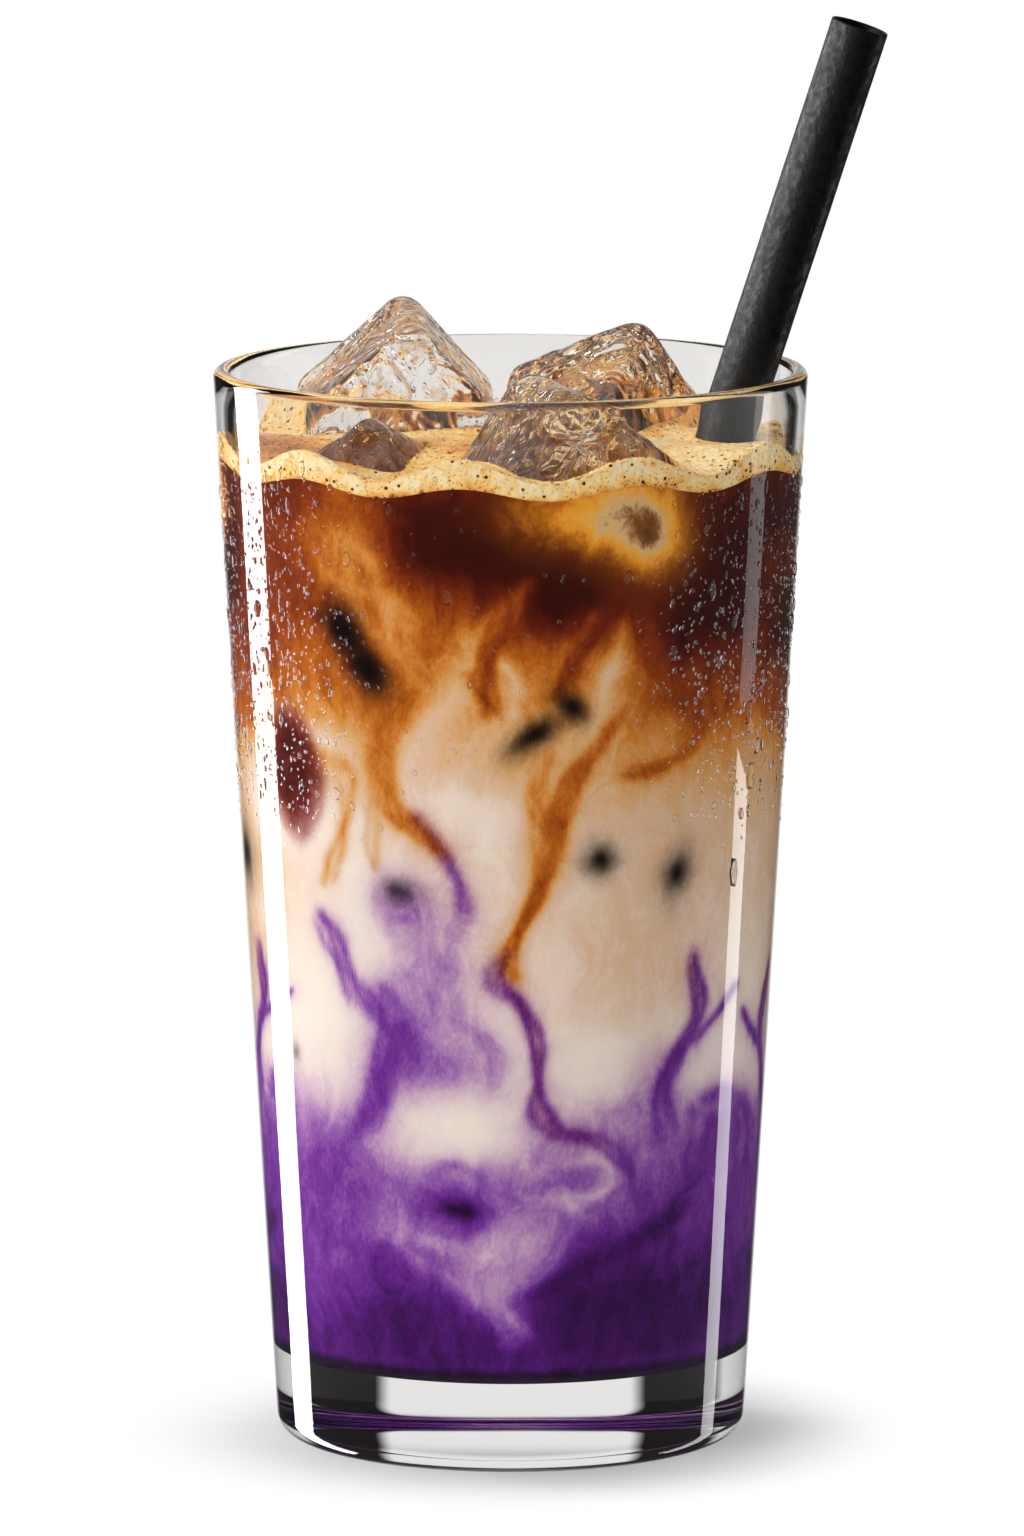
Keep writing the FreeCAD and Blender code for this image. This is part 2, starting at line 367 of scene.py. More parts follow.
@dataclass(frozen=True)
class LayeredDrink:
    """Milk with poured coffee and ube in it: matt, cloudy liquid, streaked where they fold, with a
    painted glow and painted shade where ice shows and at the floor.
    """

    name: str
    milk: str = "#f5e7da"

    def build(self) -> bpy.types.Material:
        """Colour milk by the shares of coffee and ube, with wisps where the shares change, then mix in a
        painted glow and painted shade by their own shares.

        Returns:
            The material.
        """
        material, tree, output = new_material(self.name)
        shares = add_node(tree, "ShaderNodeAttribute", {"attribute_name": "shares"})
        split = add_node(tree, "ShaderNodeSeparateColor", inputs={0: shares.outputs["Color"]})
        flow = add_node(tree, "ShaderNodeAttribute", {"attribute_name": "flow"})
        # Curdled wisps of about 3.5 mm and grain of about 0.5 mm.
        wisps = add_node(tree, "ShaderNodeTexNoise",
                         inputs={"Vector": flow.outputs["Vector"], "Scale": 290.0, "Detail": 3.0,
                                 "Roughness": 0.5, "Distortion": 0.9})
        grain = add_node(tree, "ShaderNodeTexNoise",
                         inputs={"Vector": flow.outputs["Vector"], "Scale": 2100.0, "Detail": 2.0,
                                 "Roughness": 0.6})
        both = add_node(tree, "ShaderNodeMath", {"operation": "MULTIPLY_ADD"},
                        {0: grain.outputs[0], 1: 0.5, 2: wisps.outputs[0]})
        level = add_node(tree, "ShaderNodeMath", {"operation": "SUBTRACT"},
                         {0: both.outputs[0], 1: 0.75})
        coffee = self.wispy(tree, split.outputs[0], level.outputs[0], 0.4)
        ube = self.wispy(tree, split.outputs[1], level.outputs[0], 0.45)
        shade = self.wispy(tree, split.outputs[2], level.outputs[0], 0.4)
        coffee_tint = add_node(tree, "ShaderNodeValToRGB",
                               {"stops": ((0.0, "#ffffff"), (0.12, "#ecd3bb"), (0.25, "#e8bc84"),
                                          (0.4, "#dd9440"), (0.53, "#c06a18"), (0.66, "#984409"),
                                          (0.79, "#6e2305"), (0.9, "#430b02"), (1.0, "#2c0401"))},
                               {0: coffee})
        ube_tint = add_node(tree, "ShaderNodeValToRGB",
                            {"stops": ((0.0, "#ffffff"), (0.14, "#decbe8"), (0.28, "#bc98d6"),
                                       (0.42, "#9763c4"), (0.56, "#7a3bb0"), (0.7, "#612196"),
                                       (0.84, "#410f66"), (1.0, "#1f0532"))},
                            {0: ube})
        stained = add_node(tree, "ShaderNodeMix", {"data_type": "RGBA", "blend_type": "MULTIPLY"},
                           {0: 1.0, 6: linear(self.milk), 7: coffee_tint.outputs[0]})
        poured = add_node(tree, "ShaderNodeMix", {"data_type": "RGBA", "blend_type": "MULTIPLY"},
                          {0: 1.0, 6: stained.outputs[2], 7: ube_tint.outputs[0]})
        # Painted light and shade: the alpha share is an amber glow through ice under the foam, darkening
        # to a painted core.
        painted_glow = self.wispy(tree, shares.outputs["Alpha"], level.outputs[0], 0.45)
        painted_glow_tint = add_node(tree, "ShaderNodeValToRGB",
                         {"stops": ((0.1, "#a8500a"), (0.35, "#e0851c"), (0.55, "#f2a83a"),
                                    (0.7, "#dcb47c"), (0.8, "#8a5424"), (0.92, "#3a1a09"))},
                         {0: painted_glow})
        lit = add_node(tree, "ShaderNodeMath", {"operation": "MULTIPLY", "use_clamp": True},
                       {0: painted_glow, 1: 2.3})
        glowing = add_node(tree, "ShaderNodeMix", {"data_type": "RGBA"},
                           {0: lit.outputs[0], 6: poured.outputs[2], 7: painted_glow_tint.outputs[0]})
        # Painted shade: a near-black brown mixed in by the shade share, for the windows through ice and
        # at the floor.
        shaded = add_node(tree, "ShaderNodeMix", {"data_type": "RGBA"},
                          {0: shade, 6: glowing.outputs[2], 7: linear("#0d0403")})
        body = add_node(tree, "ShaderNodeBsdfPrincipled",
                        inputs={"Base Color": shaded.outputs[2], "Roughness": 0.5, "IOR": 1.34,
                                "Specular IOR Level": 0.15})
        tree.links.new(body.outputs[0], output.inputs["Surface"])
        return material

    @staticmethod
    def wispy(tree: bpy.types.NodeTree, share: bpy.types.NodeSocket, level: bpy.types.NodeSocket,
              strength: float) -> bpy.types.NodeSocket:
        """Stir a share with noise: share + strength * share * (1 - share) * 4 * noise.

        Args:
            tree: Node tree of the material.
            share: Share of coffee or ube.
            level: Noise about 0.
            strength: Most that the noise moves the share.

        Returns:
            The stirred share.
        """
        rest = add_node(tree, "ShaderNodeMath", {"operation": "SUBTRACT"}, {0: 1.0, 1: share})
        band = add_node(tree, "ShaderNodeMath", {"operation": "MULTIPLY"},
                        {0: share, 1: rest.outputs[0]})
        reach = add_node(tree, "ShaderNodeMath", {"operation": "MULTIPLY"},
                         {0: band.outputs[0], 1: 4 * strength})
        stirred = add_node(tree, "ShaderNodeMath", {"operation": "MULTIPLY_ADD", "use_clamp": True},
                           {0: reach.outputs[0], 1: level, 2: share})
        return stirred.outputs[0]


@dataclass(frozen=True)
class Foam:
    """Crema, whipped by the pour: fine golden foam, darker where bubbles have opened."""

    def build(self) -> bpy.types.Material:
        """Colour foam by its depth attribute, with fine froth in bump and colour.

        Returns:
            The material.
        """
        material, tree, output = new_material("crema_foam_whipped")
        tone = add_node(tree, "ShaderNodeAttribute", {"attribute_name": "tone"})
        split = add_node(tree, "ShaderNodeSeparateColor", inputs={0: tone.outputs["Color"]})
        place = add_node(tree, "ShaderNodeTexCoord")
        # Froth of about 0.7 mm and milky marbling of about 5 mm.
        froth = add_node(tree, "ShaderNodeTexVoronoi", {"feature": "SMOOTH_F1"},
                         {"Vector": place.outputs["Object"], "Scale": 1300.0})
        marble = add_node(tree, "ShaderNodeTexNoise",
                          inputs={"Vector": place.outputs["Object"], "Scale": 200.0, "Detail": 6.0,
                                  "Roughness": 0.65, "Distortion": 1.0})
        # Open pores of about 0.4 mm, 1.3 mm apart, and pinholes half that size.
        pores = add_node(tree, "ShaderNodeTexVoronoi",
                         inputs={"Vector": place.outputs["Object"], "Scale": 760.0})
        holes = add_node(tree, "ShaderNodeTexVoronoi",
                         inputs={"Vector": place.outputs["Object"], "Scale": 1900.0})
        pore = add_node(tree, "ShaderNodeMapRange", {"interpolation_type": "SMOOTHSTEP"},
                        {0: pores.outputs["Distance"], 1: 0.22, 2: 0.14, 3: 0.0, 4: 0.62})
        hole = add_node(tree, "ShaderNodeMapRange", {"interpolation_type": "SMOOTHSTEP"},
                        {0: holes.outputs["Distance"], 1: 0.36, 2: 0.16, 3: 0.0, 4: 0.2})
        dots = add_node(tree, "ShaderNodeMath", {"operation": "MAXIMUM"},
                        {0: pore.outputs[0], 1: hole.outputs[0]})
        stain = add_node(tree, "ShaderNodeMath", {"operation": "ADD"},
                         {0: dots.outputs[0], 1: split.outputs[0]})
        shifted = add_node(tree, "ShaderNodeMath", {"operation": "MULTIPLY_ADD"},
                           {0: marble.outputs[0], 1: 0.6, 2: stain.outputs[0]})
        gold = add_node(tree, "ShaderNodeValToRGB",
                        {"stops": ((0.3, "#ffe8b4"), (0.46, "#ffce76"), (0.62, "#ec9e40"),
                                   (0.8, "#a85a22"), (1.0, "#3c1606"))},
                        {0: shifted.outputs[0]})
        relief = add_node(tree, "ShaderNodeMath", {"operation": "SUBTRACT"},
                          {0: froth.outputs[0], 1: dots.outputs[0]})
        lift = add_node(tree, "ShaderNodeBump", inputs={"Height": relief.outputs[0], "Strength": 0.6,
                                                        "Distance": 0.0005})
        body = add_node(tree, "ShaderNodeBsdfPrincipled",
                        inputs={"Base Color": gold.outputs[0], "Roughness": 0.28, "IOR": 1.34,
                                "Specular IOR Level": 0.8, "Normal": lift.outputs[0]})
        tree.links.new(body.outputs[0], output.inputs["Surface"])
        return material


@dataclass(frozen=True)
class DrinkIce:
    """Cube ice that has begun to melt: clear, hammered by the melt, stained below the foam."""

    ior: float = 1.31

    def build(self) -> bpy.types.Material:
        """Make clear ice that turns to stained drink where the wet attribute is 1.

        Returns:
            The material.
        """
        material, tree, output = new_material("water_ice_melting")
        wet = add_node(tree, "ShaderNodeAttribute", {"attribute_name": "wet"})
        split = add_node(tree, "ShaderNodeSeparateColor", inputs={0: wet.outputs["Color"]})
        place = add_node(tree, "ShaderNodeTexCoord")
        # Melt dimples of about 2 mm, bent by slower hollows.
        hollow = add_node(tree, "ShaderNodeTexNoise",
                          inputs={"Vector": place.outputs["Object"], "Scale": 170.0, "Detail": 1.5,
                                  "Distortion": 1.8})
        dimples = add_node(tree, "ShaderNodeTexVoronoi", {"feature": "SMOOTH_F1"},
                           {"Vector": place.outputs["Object"], "Scale": 430.0, "Smoothness": 0.5})
        height = add_node(tree, "ShaderNodeMath", {"operation": "MULTIPLY_ADD"},
                          {0: hollow.outputs[0], 1: 2.6, 2: dimples.outputs[0]})
        lift = add_node(tree, "ShaderNodeBump", inputs={"Height": height.outputs[0],
                                                        "Strength": 0.85, "Distance": 0.0012})
        frost = add_node(tree, "ShaderNodeValToRGB",
                         {"stops": ((0.33, "#d2a271"), (0.48, "#fbfaf9"))}, {0: hollow.outputs[0]})
        soaked = add_node(tree, "ShaderNodeValToRGB",
                          {"stops": ((0.4, "#5e260a"), (0.5, "#c98d54"), (0.6, "#f4e6d6"))},
                          {0: hollow.outputs[0]})
        tint = add_node(tree, "ShaderNodeMix", {"data_type": "RGBA"},
                        {0: split.outputs[0], 6: frost.outputs[0], 7: soaked.outputs[0]})
        dry = add_node(tree, "ShaderNodeMapRange",
                       inputs={0: split.outputs[0], 3: 0.95, 4: 0.0})
        body = add_node(tree, "ShaderNodeBsdfPrincipled",
                        inputs={"Base Color": tint.outputs[2], "Roughness": 0.05, "IOR": self.ior,
                                "Transmission Weight": dry.outputs[0], "Normal": lift.outputs[0]})
        add_clear_shadow(tree, body, output)
        return material


@dataclass(frozen=True)
class BlackStraw:
    """Black paper-feel PLA straw, extruded: matt, with a faint mottled sheen along its length."""

    def build(self) -> bpy.types.Material:
        """Make the matt black with its mottle.

        Returns:
            The material.
        """
        material, tree, output = new_material("black_pla_extruded")
        place = add_node(tree, "ShaderNodeTexCoord")
        # Mottle of about 1.2 mm.
        mottle = add_node(tree, "ShaderNodeTexNoise",
                          inputs={"Vector": place.outputs["Object"], "Scale": 800.0, "Detail": 4.0,
                                  "Roughness": 0.6})
        tone = add_node(tree, "ShaderNodeValToRGB",
                        {"stops": ((0.38, "#060606"), (0.62, "#131212"))}, {0: mottle.outputs[0]})
        gloss = add_node(tree, "ShaderNodeMapRange",
                         inputs={0: mottle.outputs[0], 1: 0.38, 2: 0.62, 3: 0.62, 4: 0.38})
        lift = add_node(tree, "ShaderNodeBump", inputs={"Height": mottle.outputs[0],
                                                        "Strength": 0.5, "Distance": 0.0004})
        body = add_node(tree, "ShaderNodeBsdfPrincipled",
                        inputs={"Base Color": tone.outputs[0], "Roughness": gloss.outputs[0],
                                "IOR": 1.46, "Specular IOR Level": 0.3, "Normal": lift.outputs[0]})
        tree.links.new(body.outputs[0], output.inputs["Surface"])
        return material


@dataclass(frozen=True)
class Dew:
    """Condensed water: small clear lenses that catch the lamps."""

    def build(self) -> bpy.types.Material:
        """Make clear water; lamps shine straight through it.

        Returns:
            The material.
        """
        material, tree, output = new_material("water_condensed")
        place = add_node(tree, "ShaderNodeTexCoord")
        # Uneven film, about 1 mm.
        film = add_node(tree, "ShaderNodeTexNoise", inputs={"Vector": place.outputs["Object"],
                                                            "Scale": 1000.0})
        rough = add_node(tree, "ShaderNodeMapRange", inputs={0: film.outputs[0], 3: 0.0, 4: 0.04})
        body = add_node(tree, "ShaderNodeBsdfPrincipled",
                        inputs={"Base Color": linear("#ffffff"), "Roughness": rough.outputs[0],
                                "IOR": 1.33, "Transmission Weight": 1.0})
        add_clear_shadow(tree, body, output)
        return material


# Shapes


@dataclass(frozen=True)
class GlassShape:
    """Sizes of the tapered cooler glass, in millimetres."""

    height: float = 149.0
    rim_radius: float = 41.0
    foot_radius: float = 32.6
    wall: float = 2.4
    floor: float = 12.6
    floor_round: float = 4.5
    foot_round: float = 3.2
    rest_ring: float = 3.0
    punt: float = 1.6

    def outer(self, z: float | np.ndarray) -> float | np.ndarray:
        """Radius of the outer wall: foot radius plus an even share of the taper."""
        return self.foot_radius + (self.rim_radius - self.foot_radius) * z / self.height

    def inner(self, z: float | np.ndarray) -> float | np.ndarray:
        """Radius of the inner wall: the outer wall less the wall's thickness."""
        return self.outer(z) - self.wall

    def floor_centre(self) -> tuple[float, float]:
        """Radius and height of the centre of the inside floor's round."""
        height = self.floor + self.floor_round
        return self.inner(height) - self.floor_round, height


def arc(centre: tuple[float, float], radius: float, start: float, end: float,
        steps: int) -> np.ndarray:
    """Points of a circular arc in a profile: centre plus radius times (cos, sin).

    Args:
        centre: Radius and height of the arc's centre.
        radius: Arc radius.
        start: First angle in degrees.
        end: Last angle in degrees.
        steps: Number of points.

    Returns:
        Rows of radius and height.
    """
    angle = np.radians(np.linspace(start, end, steps))
    return np.stack([centre[0] + radius * np.cos(angle), centre[1] + radius * np.sin(angle)], axis=1)


def line(start: Point, end: Point, steps: int) -> np.ndarray:
    """Evenly spaced points of a straight run, without its ends."""
    share = np.linspace(0, 1, steps + 2)[1:-1, None]
    return np.array(start) * (1 - share) + np.array(end) * share


def revolve(profile: np.ndarray, columns: int) -> tuple[np.ndarray, list[np.ndarray]]:
    """Turn a profile whose first and last points lie on the axis about Z.

    Args:
        profile: Rows of radius and height.
        columns: Number of steps in the turn.

    Returns:
        Vertices and faces; x = r sin(t), y = -r cos(t).
    """
    rings = profile[1:-1]
    wall = on_wall(full_turn(columns), rings[:, :1], rings[:, 1:]).reshape(-1, 3)
    vertices = np.concatenate([wall, [[0, 0, profile[0, 1]], [0, 0, profile[-1, 1]]]])
    return vertices, closed_faces(len(rings), columns)


def closed_faces(rows: int, columns: int) -> list[np.ndarray]:
    """Faces of rings between two poles, which follow the rings in the list of vertices.

    Args:
        rows: Number of rings.
        columns: Number of vertices in a ring.

    Returns:
        Quads of the rings, and triangles to the first and to the last pole.
    """
    index = np.arange(columns)
    nxt = (index + 1) % columns
    pole = rows * columns
    last_ring = (rows - 1) * columns
    start = np.stack([np.full(columns, pole), nxt, index], axis=1)
    end = np.stack([np.full(columns, pole + 1), last_ring + index, last_ring + nxt], axis=1)
    return [grid_quads(rows, columns), start, end]


@dataclass
class CoolerGlass:
    """The glass: one turned profile with a heavy floor, a hollow foot and a rounded rim."""

    shape: GlassShape
    columns: int = 224
    arc_steps: int = 14
    bead_steps: int = 20
    wall_steps: int = 40
    rest_steps: int = 2
    floor_steps: int = 10
    # Share of its tangent's length by which the foot round's centre stands in.
    foot_tuck: float = 0.97

    def profile(self) -> np.ndarray:
        """Profile from the underside's centre round the outside and inside to the floor's centre.

        Returns:
            Rows of radius and height.
        """
        s = self.shape
        bead = s.wall / 2
        rim = s.height - bead
        lean = np.degrees(np.arctan2(s.rim_radius - s.foot_radius, s.height))
        ring_inner = s.foot_radius - s.foot_round - s.rest_ring
        punt_radius = (ring_inner ** 2 + s.punt ** 2) / (2 * s.punt)
        edge = np.degrees(np.arcsin(ring_inner / punt_radius))
        under = arc((0, s.punt - punt_radius), punt_radius, 90, 90 - edge, self.arc_steps)
        tangent = s.foot_round * np.tan(np.radians(45 + lean / 2))
        centre = s.foot_radius - tangent * np.cos(np.radians(lean)) * self.foot_tuck
        foot = arc((centre, s.foot_round), s.foot_round, -90, -lean, self.arc_steps)
        lip = arc((s.inner(rim) + bead, rim), bead, -lean, 180 - lean, self.bead_steps)
        corner = arc(s.floor_centre(), s.floor_round, 0, -90, self.arc_steps)
        return np.concatenate([
            under, line(under[-1], foot[0], self.rest_steps),
            foot, line(foot[-1], lip[0], self.wall_steps),
            lip, line(lip[-1], corner[0], self.wall_steps),
            corner, line(corner[-1], (0, s.floor), self.floor_steps), [[0, s.floor]]])

    def build(self, finish: ClearGlass) -> bpy.types.Object:
        """Make the glass and put it in place of its solid.

        Args:
            finish: Finish of the glass.

        Returns:
            The piece.
        """
        vertices, faces = revolve(self.profile(), self.columns)
        piece = mesh_piece("cooler_glass", vertices, faces, finish.build())
        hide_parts("glass")
        return piece


@dataclass(frozen=True)
class Cube:
    """A block of ice: its centre, its edge shares and how it is turned, in degrees."""

    name: str
    centre: tuple[float, float, float]
    shares: tuple[float, float, float]
    turn: tuple[float, float, float]
    edge: float = 24.0
    taper: float = 0.06
    melt: float = 3.4

    def half(self) -> np.ndarray:
        """Half sizes of the block."""
        return np.array(self.shares) * self.edge / 2

    def rotation(self) -> np.ndarray:
        """Turning matrix: yaw about Z, then pitch about X, then roll about Y.

        Returns:
            Three rows of three.
        """
        yaw, pitch, roll = np.radians(self.turn)
        about_z = np.array(Euler((0, 0, yaw)).to_matrix())
        about_x = np.array(Euler((pitch, 0, 0)).to_matrix())
        about_y = np.array(Euler((0, roll, 0)).to_matrix())
        return about_z @ about_x @ about_y

    def distance(self, points: np.ndarray) -> np.ndarray:
        """Distance of points from the rounded tapered block, negative inside.

        Args:
            points: Places in the common frame.

        Returns:
            Length of what lies beyond the core box, less the melt's round.
        """
        local = (points - np.array(self.centre)) @ self.rotation()
        half = self.half()
        narrow = 1 - self.taper * (0.5 - local[..., 2] / (2 * half[2]))
        scaled = np.stack([half[0] * narrow, half[1] * narrow, np.full_like(narrow, half[2])], axis=-1)
        beyond = np.abs(local) - (scaled - self.melt)
        outside = np.linalg.norm(np.maximum(beyond, 0), axis=-1)
        inside = np.minimum(beyond.max(axis=-1), 0)
        return outside + inside - self.melt

    def surface(self, steps: int) -> tuple[np.ndarray, np.ndarray]:
        """Closed surface: a cube grid pushed out to the rounded box, joined at its seams.

        Args:
            steps: Quads along an edge.

        Returns:
            Local vertices and quads.
        """
        share = np.tan(np.linspace(-1, 1, steps + 1) * np.pi / 4)
        u, v = np.meshgrid(share, share, indexing="ij")
        w = np.ones_like(u)
        faces, corners = [], []
        quads = grid_quads(steps + 1, steps + 1, wrap=False)
        for axis in range(3):
            for side in (-1, 1):
                grid = np.empty((steps + 1, steps + 1, 3))
                grid[..., axis] = side * w
                grid[..., (axis + 1) % 3] = u if side > 0 else v
                grid[..., (axis + 2) % 3] = v if side > 0 else u
                faces.append(quads[:, ::-1] + len(corners) * (steps + 1) ** 2)
                corners.append(grid.reshape(-1, 3))
        cube = np.concatenate(corners)
        quads = np.concatenate(faces)
        # Places that agree to a ten-thousandth of the half edge are one.
        _, first, joined = np.unique(np.round(cube * 1e4).astype(int), axis=0, return_index=True,
                                     return_inverse=True)
        cube = cube[first]
        half = self.half()
        core = half - self.melt
        on_box = cube * half
        nearest = np.clip(on_box, -core, core)
        away = on_box - nearest
        away /= np.linalg.norm(away, axis=1, keepdims=True)
        rounded = nearest + away * self.melt
        narrow = 1 - self.taper * (0.5 - rounded[:, 2:] / (2 * half[2]))
        rounded[:, :2] *= narrow
        return rounded, joined.reshape(-1)[quads]


ICE_CUBES = (
    Cube("ice_rear_left", (-15.9, 13.6, 141.9), (0.85, 1.02, 0.92), (4.0, 8.0, 49.7)),
    Cube("ice_rear_right", (12.8, 14.4, 135.4), (1.01, 0.99, 1.05), (63.9, -22.3, 57.8)),
    Cube("ice_front_right", (8.6, -21.4, 134.2), (0.99, 0.94, 1.07), (-71.1, 53.4, 3.5)),
    Cube("ice_front_left", (-18.2, -11.7, 126.9), (0.87, 0.94, 0.98), (70.3, -35.7, 23.7)),
)


@dataclass
class IceBlocks:
    """The ice: melted blocks whose faces carry hammered dimples."""

    cubes: tuple[Cube, ...]
    foam: CremaShape
    steps: int = 56
    # Depth and width of the melt's hollows, and of its dimples.
    hollow: tuple[float, float] = (0.3, 7.0)
    dimple: tuple[float, float] = (0.12, 2.2)
    # Depth under the foam at which a block is wholly stained.
    soaked: float = 1.2
    seed: int = 40

    def build(self, finish: DrinkIce) -> list[bpy.types.Object]:
        """Make each block in place of its solid: its surface moved outwards by noise.

        Args:
            finish: Finish of the ice.

        Returns:
            The pieces.
        """
        material = finish.build()
        pieces = []
        for number, cube in enumerate(self.cubes):
            local, quads = cube.surface(self.steps)
            noise = ValueNoise(self.seed + number)
            out = local / np.linalg.norm(local, axis=1, keepdims=True)
            melt = (self.hollow[0] * noise.fractal(local, self.hollow[1], 2)
                    + self.dimple[0] * noise.at(local + 5.0, self.dimple[1]))
            places = (local + out * melt[:, None]) @ cube.rotation().T + np.array(cube.centre)
            under = self.foam.drawn(places[:, 0], places[:, 1]) - places[:, 2]
            piece = mesh_piece(f"{cube.name}_block", places, [quads], material,
                               colours={"wet": grey(smooth_step(under, 0.0, self.soaked))})
            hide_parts(cube.name)
            pieces.append(piece)
        return pieces


@dataclass
class Straw:
    """The straw: a tube with a rounded lip, leaning over the rim."""

    foot: tuple[float, float, float] = (-10.9, 3.0, 13.9325)
    direction: tuple[float, float, float] = (0.30601, -0.03610, 0.95134)
    length: float = 192.0
    radius: float = 4.0
    wall: float = 0.4
    columns: int = 96
    rows: int = 70
    foot_steps: int = 6
    lip_steps: int = 8
    # Depth and width of the tube's slight unevenness.
    waver: tuple[float, float] = (0.03, 9.0)
    seed: int = 60

    def axis(self) -> np.ndarray:
        """Unit vector along the straw."""
        return np.array(self.direction) / np.linalg.norm(self.direction)

    def distance(self, points: np.ndarray) -> np.ndarray:
        """Distance of points from the straw's outside, negative inside.

        Args:
            points: Places in the common frame.

        Returns:
            Distance from the axis less the radius.
        """
        offset = points - np.array(self.foot)
        along = offset @ self.axis()
        return np.linalg.norm(offset - along[..., None] * self.axis(), axis=-1) - self.radius

    def build(self, finish: BlackStraw) -> bpy.types.Object:
        """Carry a closed wall section round the straw's axis.

        Args:
            finish: Finish of the straw.

        Returns:
            The piece.
        """
        half = self.wall / 2
        middle, bore, top = self.radius - half, self.radius - self.wall, self.length - half
        section = np.concatenate([
            arc((middle, half), half, -180, 0, self.foot_steps),
            line((self.radius, half), (self.radius, top), self.rows),
            arc((middle, top), half, 0, 180, self.lip_steps),
            line((bore, top), (bore, half), self.rows)])
        turn = np.radians(full_turn(self.columns))[:, None]
        axis = self.axis()
        side = np.cross(axis, (0, 1, 0))
        side /= np.linalg.norm(side)
        ring = np.cos(turn) * side + np.sin(turn) * np.cross(axis, side)
        grid = section[:, None, :1] * ring + section[:, None, 1:] * axis + np.array(self.foot)
        depth, width = self.waver
        grid = grid + ring * depth * ValueNoise(self.seed).at(grid, width)[..., None]
        # The row after the last is the first again.
        quads = grid_quads(len(section) + 1, self.columns) % (len(section) * self.columns)
        piece = mesh_piece("straw_tube", grid.reshape(-1, 3), [quads], finish.build())
        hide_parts("straw")
        return piece


# Drink


class Tint(Enum):
    """What a stroke paints: a share of coffee, of ube, of shade, of glow, or clean milk."""

    COFFEE = 0
    UBE = 1
    SHADE = 2
    GLOW = 3
    MILK = 4


@dataclass(frozen=True)
class Stream:
    """A thread that one liquid draws through another along the wall.

    The path is (azimuth in degrees, height in mm) pairs; widths are half widths in mm at its ends.
    """

    tint: Tint
    level: float
    strength: float
    widths: tuple[float, float]
    path: tuple[tuple[float, float], ...]
    strands: int = 1


@dataclass(frozen=True)
class Patch:
    """A soft oval on the wall: azimuth in degrees, the rest in mm, lean in degrees."""

    tint: Tint
    level: float
    strength: float
    azimuth: float
    height: float
    half_width: float
    half_height: float
    lean: float = 0.0
    edge: float = 2.0


# Height in mm and share of coffee, and of ube, up the wall.
COFFEE_RISE = ((84.0, 0.0), (90.0, 0.06), (98.0, 0.2), (106.0, 0.38), (113.0, 0.52), (120.0, 0.7),
               (127.0, 0.9), (133.0, 0.88), (140.0, 0.8))
UBE_RISE = ((12.0, 0.72), (20.0, 0.76), (30.0, 0.68), (38.0, 0.5), (44.0, 0.34), (50.0, 0.12),
            (56.0, 0.03), (62.0, 0.0))

